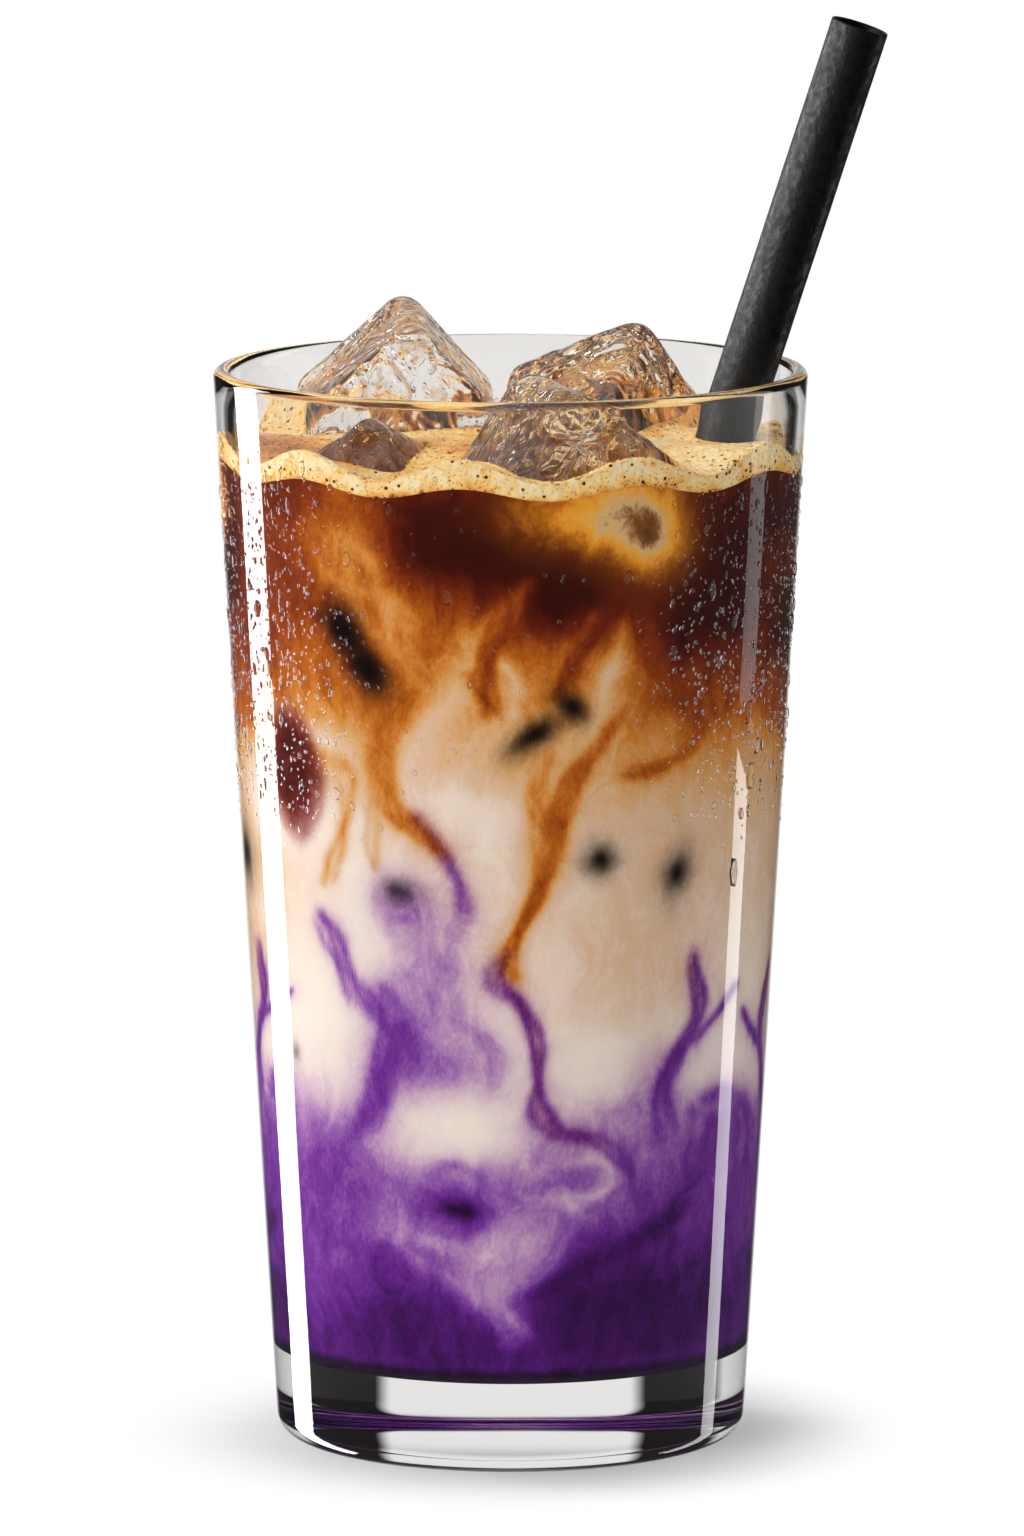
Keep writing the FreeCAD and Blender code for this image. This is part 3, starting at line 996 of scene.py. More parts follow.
PATCHES = (
    # Coffee, from the foam down.
    Patch(Tint.COFFEE, 0.7, 0.8, -56, 126, 12, 12),
    Patch(Tint.COFFEE, 0.55, 0.7, -37, 131, 8, 8),
    Patch(Tint.COFFEE, 0.97, 0.95, -1, 127, 12, 8.5, 0, 1.3),
    Patch(Tint.COFFEE, 0.97, 0.9, 12, 122, 9, 5.5, 0, 1.1),
    Patch(Tint.COFFEE, 0.94, 0.95, 46, 119, 13, 12, 0, 1.3),
    Patch(Tint.COFFEE, 0.74, 0.85, 47, 107, 13, 7, 0, 1.2),
    Patch(Tint.COFFEE, 0.42, 0.7, 46, 98, 12, 6, 0, 1.0),
    Patch(Tint.COFFEE, 0.55, 0.7, -10, 114, 11, 5, 0, 1.2),
    Patch(Tint.COFFEE, 0.5, 0.6, 10, 112, 7, 5),
    Patch(Tint.COFFEE, 0.56, 0.75, -20, 119.5, 9, 5.5, 0, 1.2),
    Patch(Tint.COFFEE, 0.6, 0.8, -33, 112, 8, 7),
    Patch(Tint.COFFEE, 0.2, 0.7, -8, 99, 7, 4),
    Patch(Tint.MILK, 0.0, 0.8, -62, 92, 9, 8),
    Patch(Tint.MILK, 0.0, 0.85, -40, 90, 12, 7),
    Patch(Tint.MILK, 0.0, 0.8, -10, 91, 9, 6),
    Patch(Tint.COFFEE, 0.19, 0.8, 40, 88, 16, 11, 0, 1.1),
    Patch(Tint.COFFEE, 0.16, 0.8, 30, 72, 14, 13, 0, 1.1),
    Patch(Tint.COFFEE, 0.08, 0.7, -8, 84, 10, 9, 0, 1.0),
    # Painted light: an amber glow where light comes through a block of ice under the foam, and its
    # painted grey core.
    Patch(Tint.GLOW, 0.4, 0.95, 11, 133, 8.0, 4.6, 0, 1.0),
    Patch(Tint.GLOW, 0.54, 0.95, 20, 133, 7.0, 5.4, 0, 1.1),
    Patch(Tint.GLOW, 0.5, 0.95, 29, 131.5, 6.4, 7.0, 0, 1.2),
    Patch(Tint.GLOW, 0.71, 0.9, 20, 132.5, 4.6, 3.6, 10, 1.2),
    Patch(Tint.GLOW, 0.88, 0.95, 27, 131, 3.3, 4.2, -20, 1.2),
    # Ube.
    Patch(Tint.UBE, 0.58, 0.9, -50, 34, 10, 13),
    Patch(Tint.UBE, 0.86, 0.95, 28, 21, 17, 7),
    Patch(Tint.UBE, 0.82, 0.9, -20, 19, 13, 6),
    Patch(Tint.UBE, 0.6, 0.9, -19, 58, 7, 6, 0, 1.1),
    Patch(Tint.UBE, 0.53, 0.85, -18, 67, 4.5, 7, 0, 1.1),
    Patch(Tint.UBE, 0.4, 0.8, 30, 51, 7, 6, 0, 1.1),
    Patch(Tint.UBE, 0.55, 0.85, 46, 42, 9, 6, 0, 1.1),
    Patch(Tint.UBE, 0.3, 0.9, -10, 35, 15, 5),
    Patch(Tint.UBE, 0.2, 0.9, 0, 30, 7, 6, 35),
    Patch(Tint.MILK, 0.0, 0.9, -14, 48, 10, 6),
    Patch(Tint.MILK, 0.0, 0.8, 22, 56, 7, 6),
    Patch(Tint.MILK, 0.0, 0.7, 54, 56, 6, 4),
)

STREAMS = (
    # Cream drawn up into the coffee.
    Stream(Tint.COFFEE, 0.33, 0.85, (3.6, 2.0), ((-38, 131), (-35, 126), (-30, 122), (-25, 119),
                                                 (-23, 114), (-23, 109)), 3),
    Stream(Tint.MILK, 0.0, 0.8, (1.4, 3.2), ((-68, 105), (-51, 103), (-38, 101), (-34, 96), (-33, 87))),
    Stream(Tint.MILK, 0.0, 0.8, (0.9, 3.6), ((4, 124), (-3, 118), (-7, 115), (-8, 112), (-11, 109),
                                             (-17, 105), (-22, 101), (-24, 98), (-22, 94), (-14, 90))),
    Stream(Tint.COFFEE, 0.3, 0.7, (1.6, 2.2), ((-2, 121), (-7, 116), (-10, 112), (-14, 108)), 3),
    Stream(Tint.MILK, 0.0, 0.6, (0.8, 2.0), ((-2, 114), (-1, 110), (-3, 104)), 2),
    Stream(Tint.MILK, 0.0, 0.7, (1.2, 3.4), ((22, 119), (22, 113), (20, 110), (19, 106), (15, 102),
                                             (10, 98), (0, 92))),
    Stream(Tint.COFFEE, 0.35, 0.6, (0.9, 1.2), ((17, 120), (14, 116), (10, 112)), 2),
    # Coffee running down.
    Stream(Tint.COFFEE, 0.76, 0.8, (1.7, 1.2), ((0, 122), (-2, 118), (-5, 114), (-6, 110), (-5, 105)), 3),
    Stream(Tint.COFFEE, 0.82, 0.75, (1.6, 1.2), ((21, 123), (19, 120), (15, 117), (13, 113),
                                                 (10, 109)), 3),
    Stream(Tint.COFFEE, 0.52, 0.85, (2.2, 0.6), ((-24, 109), (-27, 104), (-29, 99), (-28, 95), (-24, 92),
                                               (-19, 90), (-13, 87)), 4),
    Stream(Tint.COFFEE, 0.3, 0.7, (1.3, 0.8), ((-31, 98), (-31, 92), (-30, 87), (-30, 84)), 2),
    Stream(Tint.COFFEE, 0.42, 0.75, (1.6, 1.0), ((-46, 100), (-39, 98), (-38, 95), (-39, 90),
                                                 (-41, 86), (-42, 81)), 2),
    Stream(Tint.COFFEE, 0.6, 0.85, (1.7, 0.6), ((25, 106), (18, 102), (13, 98), (11, 94), (9, 90),
                                                 (8, 86), (6, 82), (3, 78), (-1, 75), (-2, 71),
                                                 (1, 69)), 5),
    Stream(Tint.COFFEE, 0.5, 0.75, (0.9, 1.6), ((7, 100), (5, 95), (6, 90), (8, 85)), 3),
    Stream(Tint.COFFEE, 0.62, 0.7, (2.0, 1.6), ((45, 108), (43, 103), (37, 99), (29, 97), (25, 98)), 3),
    Stream(Tint.COFFEE, 0.12, 0.7, (1.8, 1.4), ((20, 84), (17, 79), (19, 75), (22, 70)), 3),
    # Ube rising.
    Stream(Tint.UBE, 0.52, 0.85, (0.5, 0.8), ((-22, 93), (-17, 90), (-13, 87), (-10, 83), (-9, 79),
                                             (-11, 75), (-14, 72), (-16, 68), (-13, 64), (-6, 61),
                                             (-4, 58), (-5, 54)), 2),
    Stream(Tint.UBE, 0.22, 0.7, (2.2, 3.4), ((-12, 78), (-16, 72), (-18, 67), (-15, 62), (-9, 59)), 3),
    Stream(Tint.COFFEE, 0.16, 0.6, (0.9, 1.3), ((-1, 74), (-5, 71), (-3, 68), (3, 66), (7, 61), (7, 58),
                                                (5, 54), (5, 51), (10, 47), (17, 46), (25, 44))),
    Stream(Tint.UBE, 0.66, 0.9, (0.8, 1.0), ((-1, 74), (-5, 71), (-3, 68), (3, 66), (7, 61), (7, 58),
                                              (5, 54), (5, 51), (10, 47), (17, 46), (25, 44), (29, 42),
                                              (28, 37)), 2),
    Stream(Tint.UBE, 0.5, 0.85, (1.5, 1.3), ((-46, 77), (-43, 73), (-41, 69), (-37, 66), (-31, 63)), 3),
    Stream(Tint.UBE, 0.62, 0.85, (1.8, 3.0), ((-31, 67), (-28, 62), (-28, 58), (-31, 53), (-36, 47)), 4),
    Stream(Tint.UBE, 0.26, 0.7, (1.8, 3.4), ((-23, 80), (-22, 76), (-21, 72), (-20, 66)), 3),
    Stream(Tint.UBE, 0.68, 0.85, (1.0, 1.7), ((43, 72), (46, 66), (46, 61), (42, 57), (38, 52),
                                             (40, 46)), 3),
    Stream(Tint.UBE, 0.62, 0.85, (0.7, 1.3), ((61, 66), (53, 62), (46, 59)), 2),
    Stream(Tint.UBE, 0.62, 0.8, (2.2, 3.4), ((50, 50), (56, 50), (58, 45), (52, 40), (44, 35)), 3),
    Stream(Tint.UBE, 0.85, 0.8, (3.0, 2.0), ((46, 36), (30, 31), (15, 28), (6, 25)), 3),
    Stream(Tint.UBE, 0.26, 0.75, (4.2, 1.0), ((-24, 35), (-14, 30), (-4, 25), (5, 19)), 3),
    Stream(Tint.UBE, 0.5, 0.8, (0.8, 1.1), ((-24, 38), (-19, 42), (-10, 43), (-4, 40), (-4, 36),
                                            (-12, 33), (-20, 34), (-24, 38))),
    Stream(Tint.UBE, 0.14, 0.7, (1.8, 1.2), ((8, 39), (16, 37), (23, 40), (20, 44), (13, 44)), 2),
)

# Ice deep in the drink, where it nears the wall: painted shade for the dark windows through it, with
# coffee and ube round them.
WINDOWS = (
    Patch(Tint.COFFEE, 0.66, 0.5, -31, 113, 4.6, 9.0, 32, 1.2),
    Patch(Tint.SHADE, 1.0, 1.0, -36, 118, 3.0, 4.6, 36, 1.7),
    Patch(Tint.SHADE, 1.0, 1.0, -31, 112.5, 3.2, 5.2, 28, 1.7),
    Patch(Tint.COFFEE, 0.55, 0.9, -54, 97, 5.0, 8.8, 4, 2.4),
    Patch(Tint.UBE, 0.6, 0.9, -54, 97, 5.0, 8.8, 4, 2.4),
    Patch(Tint.SHADE, 0.35, 0.9, -54, 97, 4.4, 8.0, 4, 2.0),
    Patch(Tint.COFFEE, 0.35, 0.6, 8, 104, 4.6, 8.0, -52, 1.2),
    Patch(Tint.SHADE, 1.0, 1.0, 12, 107, 3.4, 2.7, -40, 1.6),
    Patch(Tint.SHADE, 1.0, 1.0, 3.5, 102.4, 2.3, 4.9, -57, 1.6),
    Patch(Tint.UBE, 0.42, 0.75, -23, 79.5, 5.0, 4.4, 0, 1.0),
    Patch(Tint.SHADE, 0.97, 0.95, -23, 81, 2.8, 2.1, 0, 1.1),
    Patch(Tint.SHADE, 1.0, 1.0, 19, 86, 2.9, 3.0, 0, 1.2),
    Patch(Tint.SHADE, 1.0, 1.0, 37.5, 82.6, 2.8, 4.6, -14, 1.2),
    Patch(Tint.SHADE, 0.75, 0.9, -57, 57, 1.1, 1.3, 0, 1.0),
    Patch(Tint.UBE, 0.84, 0.95, -13, 37, 5.6, 2.8, 0, 1.2),
    Patch(Tint.SHADE, 0.75, 0.9, -13, 37, 2.6, 1.2, 0, 1.3),
)


@dataclass(frozen=True)
class Repeat:
    """One drawing of the pattern: its turn in degrees, -1 to mirror it, and its drop in mm.

    Where no ice shows, the windows and the glow are left out.
    """

    turn: float
    side: float = 1.0
    drop: float = 0.0
    ice_shows: bool = True

    def strokes(self) -> tuple[Stream | Patch, ...]:
        """Strokes in the order in which they are painted."""
        if self.ice_shows:
            return *PATCHES, *STREAMS, *WINDOWS
        return *(patch for patch in PATCHES if patch.tint is not Tint.GLOW), *STREAMS


@dataclass
class Marbling:
    """The drink's pattern on the wall, painted from strokes and stirred by noise."""

    shape: GlassShape
    stir: ValueNoise = field(default_factory=lambda: ValueNoise(11))
    # Most movement and width of each stir, in mm: two all round, and one away from the front.
    slow: tuple[float, float] = (1.3, 13.0)
    quick: tuple[float, float] = (0.3, 4.0)
    broad: tuple[float, float] = (6.0, 23.0)
    repeats: tuple[Repeat, ...] = (Repeat(-120.0), Repeat(124.0, -1.0, 5.0, False), Repeat(0.0))
    # Degrees to each side that a repeat fills, and how far a stream can reach past its path.
    span: float = 80.0
    reach_aside: float = 14.0
    reach_up: float = 9.0
    # Rise of the levels in three tides round the back, in mm, and where the front ends.
    tide: float = 3.0
    front: tuple[float, float] = (50.0, 80.0)
    # Share of a stream's cover in its core, and the length of its haze in widths.
    core: float = 0.6
    haze: float = 1.5
    # Half width of a strand: share of the stream's for the first and for the rest, and the least.
    first_strand: float = 0.6
    next_strand: float = 0.45
    least_strand: float = 0.7

    def paint(self, places: np.ndarray) -> tuple[np.ndarray, np.ndarray]:
        """Shares of coffee, ube, shade and glow at places, and the stirred places.

        Each place is first moved by two scales of noise. The strokes are drawn for the front, and
        again about a third of a turn to each side with a stronger stir; the right one is mirrored,
        hangs lower and has no ice showing.

        Args:
            places: Places in millimetres.

        Returns:
            Four shares a place, and stirred places in metres, drawn out upwards.
        """
        warp = (self.slow[0] * self.stir.vectors(places, self.slow[1], 2)
                + self.quick[0] * self.stir.vectors(places, self.quick[1], 2))
        moved = places + warp * (1.0, 1.0, 0.9)
        azimuth, height = azimuth_of(moved), moved[:, 2]
        still = azimuth_of(places)
        tide = self.tide * np.sin(np.radians(3 * still + 40)) * smooth_step(np.abs(still), *self.front)
        coffee = np.interp(height + tide, *np.transpose(COFFEE_RISE))
        ube = np.interp(height + tide, *np.transpose(UBE_RISE))
        shares = np.stack([coffee, ube, np.zeros_like(ube), np.zeros_like(ube)], axis=1)
        broad = self.broad[0] * self.stir.vectors(places + 60.0, self.broad[1], 1)
        for repeat in self.repeats:
            across = repeat.side * half_turn(azimuth - repeat.turn)
            up = height + repeat.drop
            if repeat.turn:
                across, up = across + broad[:, 0], up + broad[:, 2]
            near = np.flatnonzero(np.abs(across) < self.span)
            part = shares[near]
            for stroke in repeat.strokes():
                self.stroke(part, across[near], up[near], stroke)
            shares[near] = part
        return shares, moved * (1.0, 1.0, 0.6) * MM

    def stroke(self, shares: np.ndarray, across: np.ndarray, up: np.ndarray,
               stroke: Stream | Patch) -> None:
        """Draw one stroke: each share moves towards the stroke's level by its cover.

        Args:
            shares: Shares to change.
            across: Azimuth of each place.
            up: Height of each place.
            stroke: The stroke.
        """
        if isinstance(stroke, Patch):
            cover = self.patch_cover(across, up, stroke)
        else:
            cover = self.stream_cover(across, up, stroke)
        if stroke.tint is Tint.MILK:
            shares[:, :2] *= (1 - cover)[:, None]
            return
        column = stroke.tint.value
        shares[:, column] += (stroke.level - shares[:, column]) * cover

    def arc_length(self, up: float) -> float:
        """Millimetres of wall in one degree at a height."""
        return float(np.radians(self.shape.inner(up)))

    def patch_cover(self, across: np.ndarray, up: np.ndarray, patch: Patch) -> np.ndarray:
        """Cover of a soft oval: strength times e to the minus (oval distance) to the edge power.

        Args:
            across: Azimuth of each place.
            up: Height of each place.
            patch: The oval.

        Returns:
            Cover from 0 to the strength.
        """
        dx = (across - patch.azimuth) * self.arc_length(patch.height)
        dz = up - patch.height
        lean = np.radians(patch.lean)
        a = (dx * np.cos(lean) + dz * np.sin(lean)) / patch.half_width
        b = (dz * np.cos(lean) - dx * np.sin(lean)) / patch.half_height
        return patch.strength * np.exp(-(a * a + b * b) ** patch.edge)

    def stream_cover(self, across: np.ndarray, up: np.ndarray, stream: Stream) -> np.ndarray:
        """Cover of a thread: strength times a core and a haze by the distance to its path.

        The core is a bell of the distance over the width, and the haze e to the minus distance.
        Both fade over a fifth of the path at each end.

        Args:
            across: Azimuth of each place.
            up: Height of each place.
            stream: The thread, or a bundle of strands.

        Returns:
            Cover from 0 to the strength.
        """
        if stream.strands > 1:
            return self.strand_cover(across, up, stream)
        path = self.smooth_path(np.array(stream.path, dtype=float))
        left, low = path.min(axis=0) - (self.reach_aside, self.reach_up)
        right, high = path.max(axis=0) + (self.reach_aside, self.reach_up)
        near = np.flatnonzero((up > low) & (up < high) & (across > left) & (across < right))
        cover = np.zeros_like(up)
        if not len(near):
            return cover
        scale = self.arc_length(float(path[:, 1].mean()))
        x, z = across[near] * scale, up[near]
        best = np.zeros(len(near))
        widths = np.linspace(*stream.widths, len(path))
        for i in range(len(path) - 1):
            ax, az = path[i, 0] * scale, path[i, 1]
            bx, bz = path[i + 1, 0] * scale - ax, path[i + 1, 1] - az
            share = np.clip(((x - ax) * bx + (z - az) * bz) / (bx * bx + bz * bz), 0, 1)
            gap = np.hypot(x - ax - share * bx, z - az - share * bz)
            width = widths[i] + (widths[i + 1] - widths[i]) * share
            core, haze = np.exp(-(gap / width) ** 2), np.exp(-gap / (self.haze * width))
            along = (i + share) / (len(path) - 1)
            fade = np.minimum(1, 5 * np.minimum(along, 1 - along)) ** 0.7
            best = np.maximum(best, (self.core * core + (1 - self.core) * haze) * fade)
        cover[near] = stream.strength * best
        return cover

    def strand_cover(self, across: np.ndarray, up: np.ndarray, stream: Stream) -> np.ndarray:
        """Cover of a bundle: strands side by side that cross as sines along the path.

        Args:
            across: Azimuth of each place.
            up: Height of each place.
            stream: The bundle.

        Returns:
            1 less the product of what each strand leaves clear.
        """
        clear = np.ones_like(up)
        path = np.array(stream.path, dtype=float)
        along = np.arange(len(path))
        spread = np.linspace(*stream.widths, len(path)) / self.arc_length(float(path[:, 1].mean()))
        for k in range(stream.strands):
            phase = 6.3 * k / stream.strands
            offset = spread * (np.sin(1.1 * along + phase) + 0.3 * np.sin(2.3 * along + 2 * phase))
            moved = path + np.stack([offset, 0.3 * offset], axis=1)
            share, strength = (self.next_strand, 0.75) if k else (self.first_strand, 1.0)
            start, end = (max(share * width, self.least_strand) for width in stream.widths)
            strand = Stream(stream.tint, stream.level, stream.strength, (start, end),
                            tuple(map(tuple, moved.tolist())))
            clear *= 1 - self.stream_cover(across, up, strand) * strength
        return 1 - clear

    @staticmethod
    def smooth_path(path: np.ndarray) -> np.ndarray:
        """Round a path's corners by cutting each at a quarter and three quarters, three times.

        Args:
            path: Azimuth and height, one point a row.

        Returns:
            The rounded path, with the same ends.
        """
        for _ in range(3):
            quarter = 0.75 * path[:-1] + 0.25 * path[1:]
            three = 0.25 * path[:-1] + 0.75 * path[1:]
            middle = np.stack([quarter, three], axis=1).reshape(-1, 2)
            path = np.concatenate([path[:1], middle, path[-1:]])
        return path


@dataclass(frozen=True)
class Sheet:
    """Boundary between two liquids: a level with folds, which are humps and hollows, in it."""

    level: float
    folds: tuple[Hump, ...]

    def at(self, x: np.ndarray, y: np.ndarray) -> np.ndarray:
        """Height: the level plus the folds."""
        return self.level + humps(x, y, self.folds)


COFFEE_SHEET = Sheet(100.6, (
    (-14, -28, -14, 6), (5, -31, -19, 5.5), (-21, -23, -12, 5), (18, -26, -8, 8),
    (-2, -31, 15, 6.5), (-18, -30, 12, 5), (29, 6, -10, 7), (18, 27, 11, 7), (-4, 32, -16, 6),
    (-26, 18, 9, 8), (-32, -4, -9, 6), (0, 4, -6, 12)))
UBE_SHEET = Sheet(45.6, (
    (-17, -27, 22, 5.5), (4, -31, 11, 5), (21, -23, 20, 5.5), (27, -15, 9, 7), (-5, -30, -19, 8),
    (-27, -14, 5, 7), (28, 10, -9, 7), (10, 29, 17, 6), (-13, 28, -11, 8), (-29, 10, 14, 6),
    (2, 3, 7, 12)))


@dataclass(frozen=True)
class CremaShape:
    """The foam's level and its swells along the wall."""

    shape: GlassShape
    level: float = 139.6
    depth: float = 3.4
    swell: float = 1.6
    swells: int = 10
    swell_azimuth: float = -100.0
    hollows: tuple[Hump, ...] = ((-17, -22, 2.9, 12), (9, -30, 1.6, 11))
    # Distances from the wall from which, and at which, the hollows have their full depth.
    clinging: tuple[float, float] = (0.4, 3.0)

    def wall_radius(self) -> float:
        """Radius of the wall at the foam's level."""
        return float(self.shape.inner(self.level))

    def top(self, x: np.ndarray, y: np.ndarray) -> np.ndarray:
        """Top: level plus the swell's cosine round the axis, growing with the radius's 4th power.

        Args:
            x: Places across.
            y: Places to the rear.

        Returns:
            Heights.
        """
        share = np.minimum(np.hypot(x, y) / self.wall_radius(), 1.1)
        wave = np.cos(self.swells * (np.arctan2(y, x) - np.radians(self.swell_azimuth)))
        return self.level + self.swell * wave * share ** 4

    def drawn(self, x: np.ndarray, y: np.ndarray) -> np.ndarray:
        """Top with hollows round the front ice, where the foam has sunk but clings to the wall."""
        clear = smooth_step(self.wall_radius() - np.hypot(x, y), *self.clinging)
        return self.top(x, y) - humps(x, y, self.hollows) * clear

    def bottom(self, x: np.ndarray, y: np.ndarray) -> np.ndarray:
        """Underside: half of the top's swell, less the depth."""
        return (self.top(x, y) + self.level) / 2 - self.depth


@dataclass(frozen=True)
class Pocket:
    """The hollow that blocks of ice press into a sheet: how much wider and deeper than they are."""

    margin: float
    drop: float
    # Heights between which blocks are looked for, the step, and how far they reach aside.
    start: float = 150.0
    end: float = 104.0
    step: float = 0.75
    reach: float = 24.0

    def press(self, x: np.ndarray, y: np.ndarray, height: np.ndarray,
              cubes: tuple[Cube, ...]) -> np.ndarray:
        """Lower a surface under the blocks of ice.

        Wherever a block, widened by the margin, stands in the surface, the height becomes the
        block's lowest point there, less the drop.

        Args:
            x: Places across.
            y: Places to the rear.
            height: Surface heights.
            cubes: Blocks of ice.

        Returns:
            The lowered heights.
        """
        lowered = np.array(height, dtype=float).ravel()
        for cube in cubes:
            near = np.flatnonzero(np.hypot(x - cube.centre[0], y - cube.centre[1]).ravel() < self.reach)
            px, py, surface = x.ravel()[near], y.ravel()[near], height.ravel()[near]
            lowest = surface.astype(float)
            opened = cube.distance(np.stack([px, py, lowest], axis=1)) < self.margin
            for z in np.arange(self.start, self.end, -self.step):
                level = np.minimum(surface, z)
                inside = cube.distance(np.stack([px, py, level], axis=1)) < self.margin
                lowest = np.where(inside & opened, np.minimum(lowest, level - self.drop), lowest)
            lowered[near] = np.minimum(lowered[near], lowest)
        return lowered.reshape(height.shape)


def poles(grid: np.ndarray) -> np.ndarray:
    """Poles at the axis, at the mean height of the first and last ring."""
    return np.array([[0, 0, grid[0, :, 2].mean()], [0, 0, grid[-1, :, 2].mean()]])


@dataclass
class Drink:
    """The three liquids: closed bodies whose sides reach just into the wall."""

    shape: GlassShape
    crema: CremaShape
    cubes: tuple[Cube, ...]
    marbling: Marbling
    columns: int = 512
    cell: float = 0.58
    cap_rows: int = 20
    bend_steps: int = 12
    press: float = 0.3
    pocket: Pocket = Pocket(1.6, 1.0)
    # Shade at the floor, and the heights over it between which it fades.
    foot_shade: float = 0.85
    foot_band: tuple[float, float] = (1.0, 2.6)
    # Angle in degrees over which an edge is sharp.
    crease: float = 50.0

    def layer(self, name: str, node: str, slot: Slot, lower: Sheet | None, upper: Sheet | None,
              finish: LayeredDrink) -> bpy.types.Object:
        """Make one liquid between two sheets, or the floor and a sheet, or a sheet and the foam.

        Args:
            name: Piece name.
            node: Solid that the piece replaces.
            slot: Material slot; not used.
            lower: Sheet below, or nothing for the glass's floor.
            upper: Sheet above, or nothing for the foam.
            finish: Finish of the liquid.

        Returns:
            The piece.
        """
        s = self.shape
        turn = full_turn(self.columns)
        bottom = self.edge(turn, lower.at if lower else None)
        top = self.edge(turn, upper.at if upper else self.crema.bottom)
        rows = int(np.ceil((top - bottom).max() / self.cell)) + 1
        height = bottom + (top - bottom) * np.linspace(0, 1, rows)[:, None]
        side = on_wall(turn, s.inner(height) + self.press, height)
        foot = self.cap(turn, bottom, lower)[::-1] if lower else self.floor_cap(turn)
        grid = np.concatenate([foot, side, self.cap(turn, top, upper)])
        vertices = np.concatenate([grid.reshape(-1, 3), poles(grid)])
        shares, flow = self.marbling.paint(vertices)
        shade = self.foot_shade * (1 - smooth_step(vertices[:, 2] - s.floor, *self.foot_band))
        column = Tint.SHADE.value
        shares[:, column] = np.maximum(shares[:, column], shade)
        piece = mesh_piece(name, vertices, closed_faces(len(grid), self.columns),
                           finish.build(), colours={"shares": shares}, vectors={"flow": flow})
        piece.data.set_sharp_from_angle(angle=float(np.radians(self.crease)))
        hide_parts(node)
        return piece

    def edge(self, turn: np.ndarray,
             sheet_at: Callable[[np.ndarray, np.ndarray], np.ndarray] | None) -> np.ndarray:
        """Height of a sheet at the wall, found from the wall's radius at the last height.

        Args:
            turn: Azimuths in degrees.
            sheet_at: The sheet's height function, or nothing for the floor's round.

        Returns:
            Heights.
        """
        if sheet_at is None:
            return np.full(len(turn), self.shape.floor_centre()[1])
        height = np.full(len(turn), 90.0)
        for _ in range(3):
            height = sheet_at(*on_plan(turn, self.shape.inner(height)))
        return height

    def cap(self, turn: np.ndarray, edge: np.ndarray, sheet: Sheet | None) -> np.ndarray:
        """Rings from the wall in towards the axis over a sheet, or under the foam and the ice.

        Args:
            turn: Azimuths of the columns.
            edge: Heights at the wall.
            sheet: The sheet, or nothing for the foam's underside.

        Returns:
            Rings of places.
        """
        share = (1 - np.arange(1, self.cap_rows) / self.cap_rows)[:, None]
        x, y = on_plan(turn, (self.shape.inner(edge) + self.press) * share)
        if sheet:
            height = sheet.at(x, y)
        else:
            height = self.pocket.press(x, y, self.crema.bottom(x, y), self.cubes)
        return np.stack([x, y, height], axis=-1)

    def floor_cap(self, turn: np.ndarray) -> np.ndarray:
        """Rings from the axis out over the floor and round its corner.

        Args:
            turn: Azimuths of the columns.

        Returns:
            Rings of places.
        """
        s = self.shape
        bend = arc(s.floor_centre(), s.floor_round + self.press, -90, 0, self.bend_steps)[:-1]
        flat = line((0, s.floor - self.press), bend[0], self.cap_rows)
        profile = np.concatenate([flat, bend])
        return on_wall(turn, profile[:, :1], profile[:, 1:])

    def build(self) -> list[bpy.types.Object]:
        """Make the ube, the milk and the coffee.

        Returns:
            The pieces, from the floor up.
        """
        return [
            self.layer("ube_swirl", "ube_layer", Slot.UBE, None, UBE_SHEET,
                       LayeredDrink("ube_milk_poured")),
            self.layer("milk_swirl", "milk_layer", Slot.MILK, UBE_SHEET, COFFEE_SHEET,
                       LayeredDrink("whole_milk_poured")),
            self.layer("coffee_swirl", "coffee_layer", Slot.COFFEE, COFFEE_SHEET, None,
                       LayeredDrink("espresso_poured")),
        ]


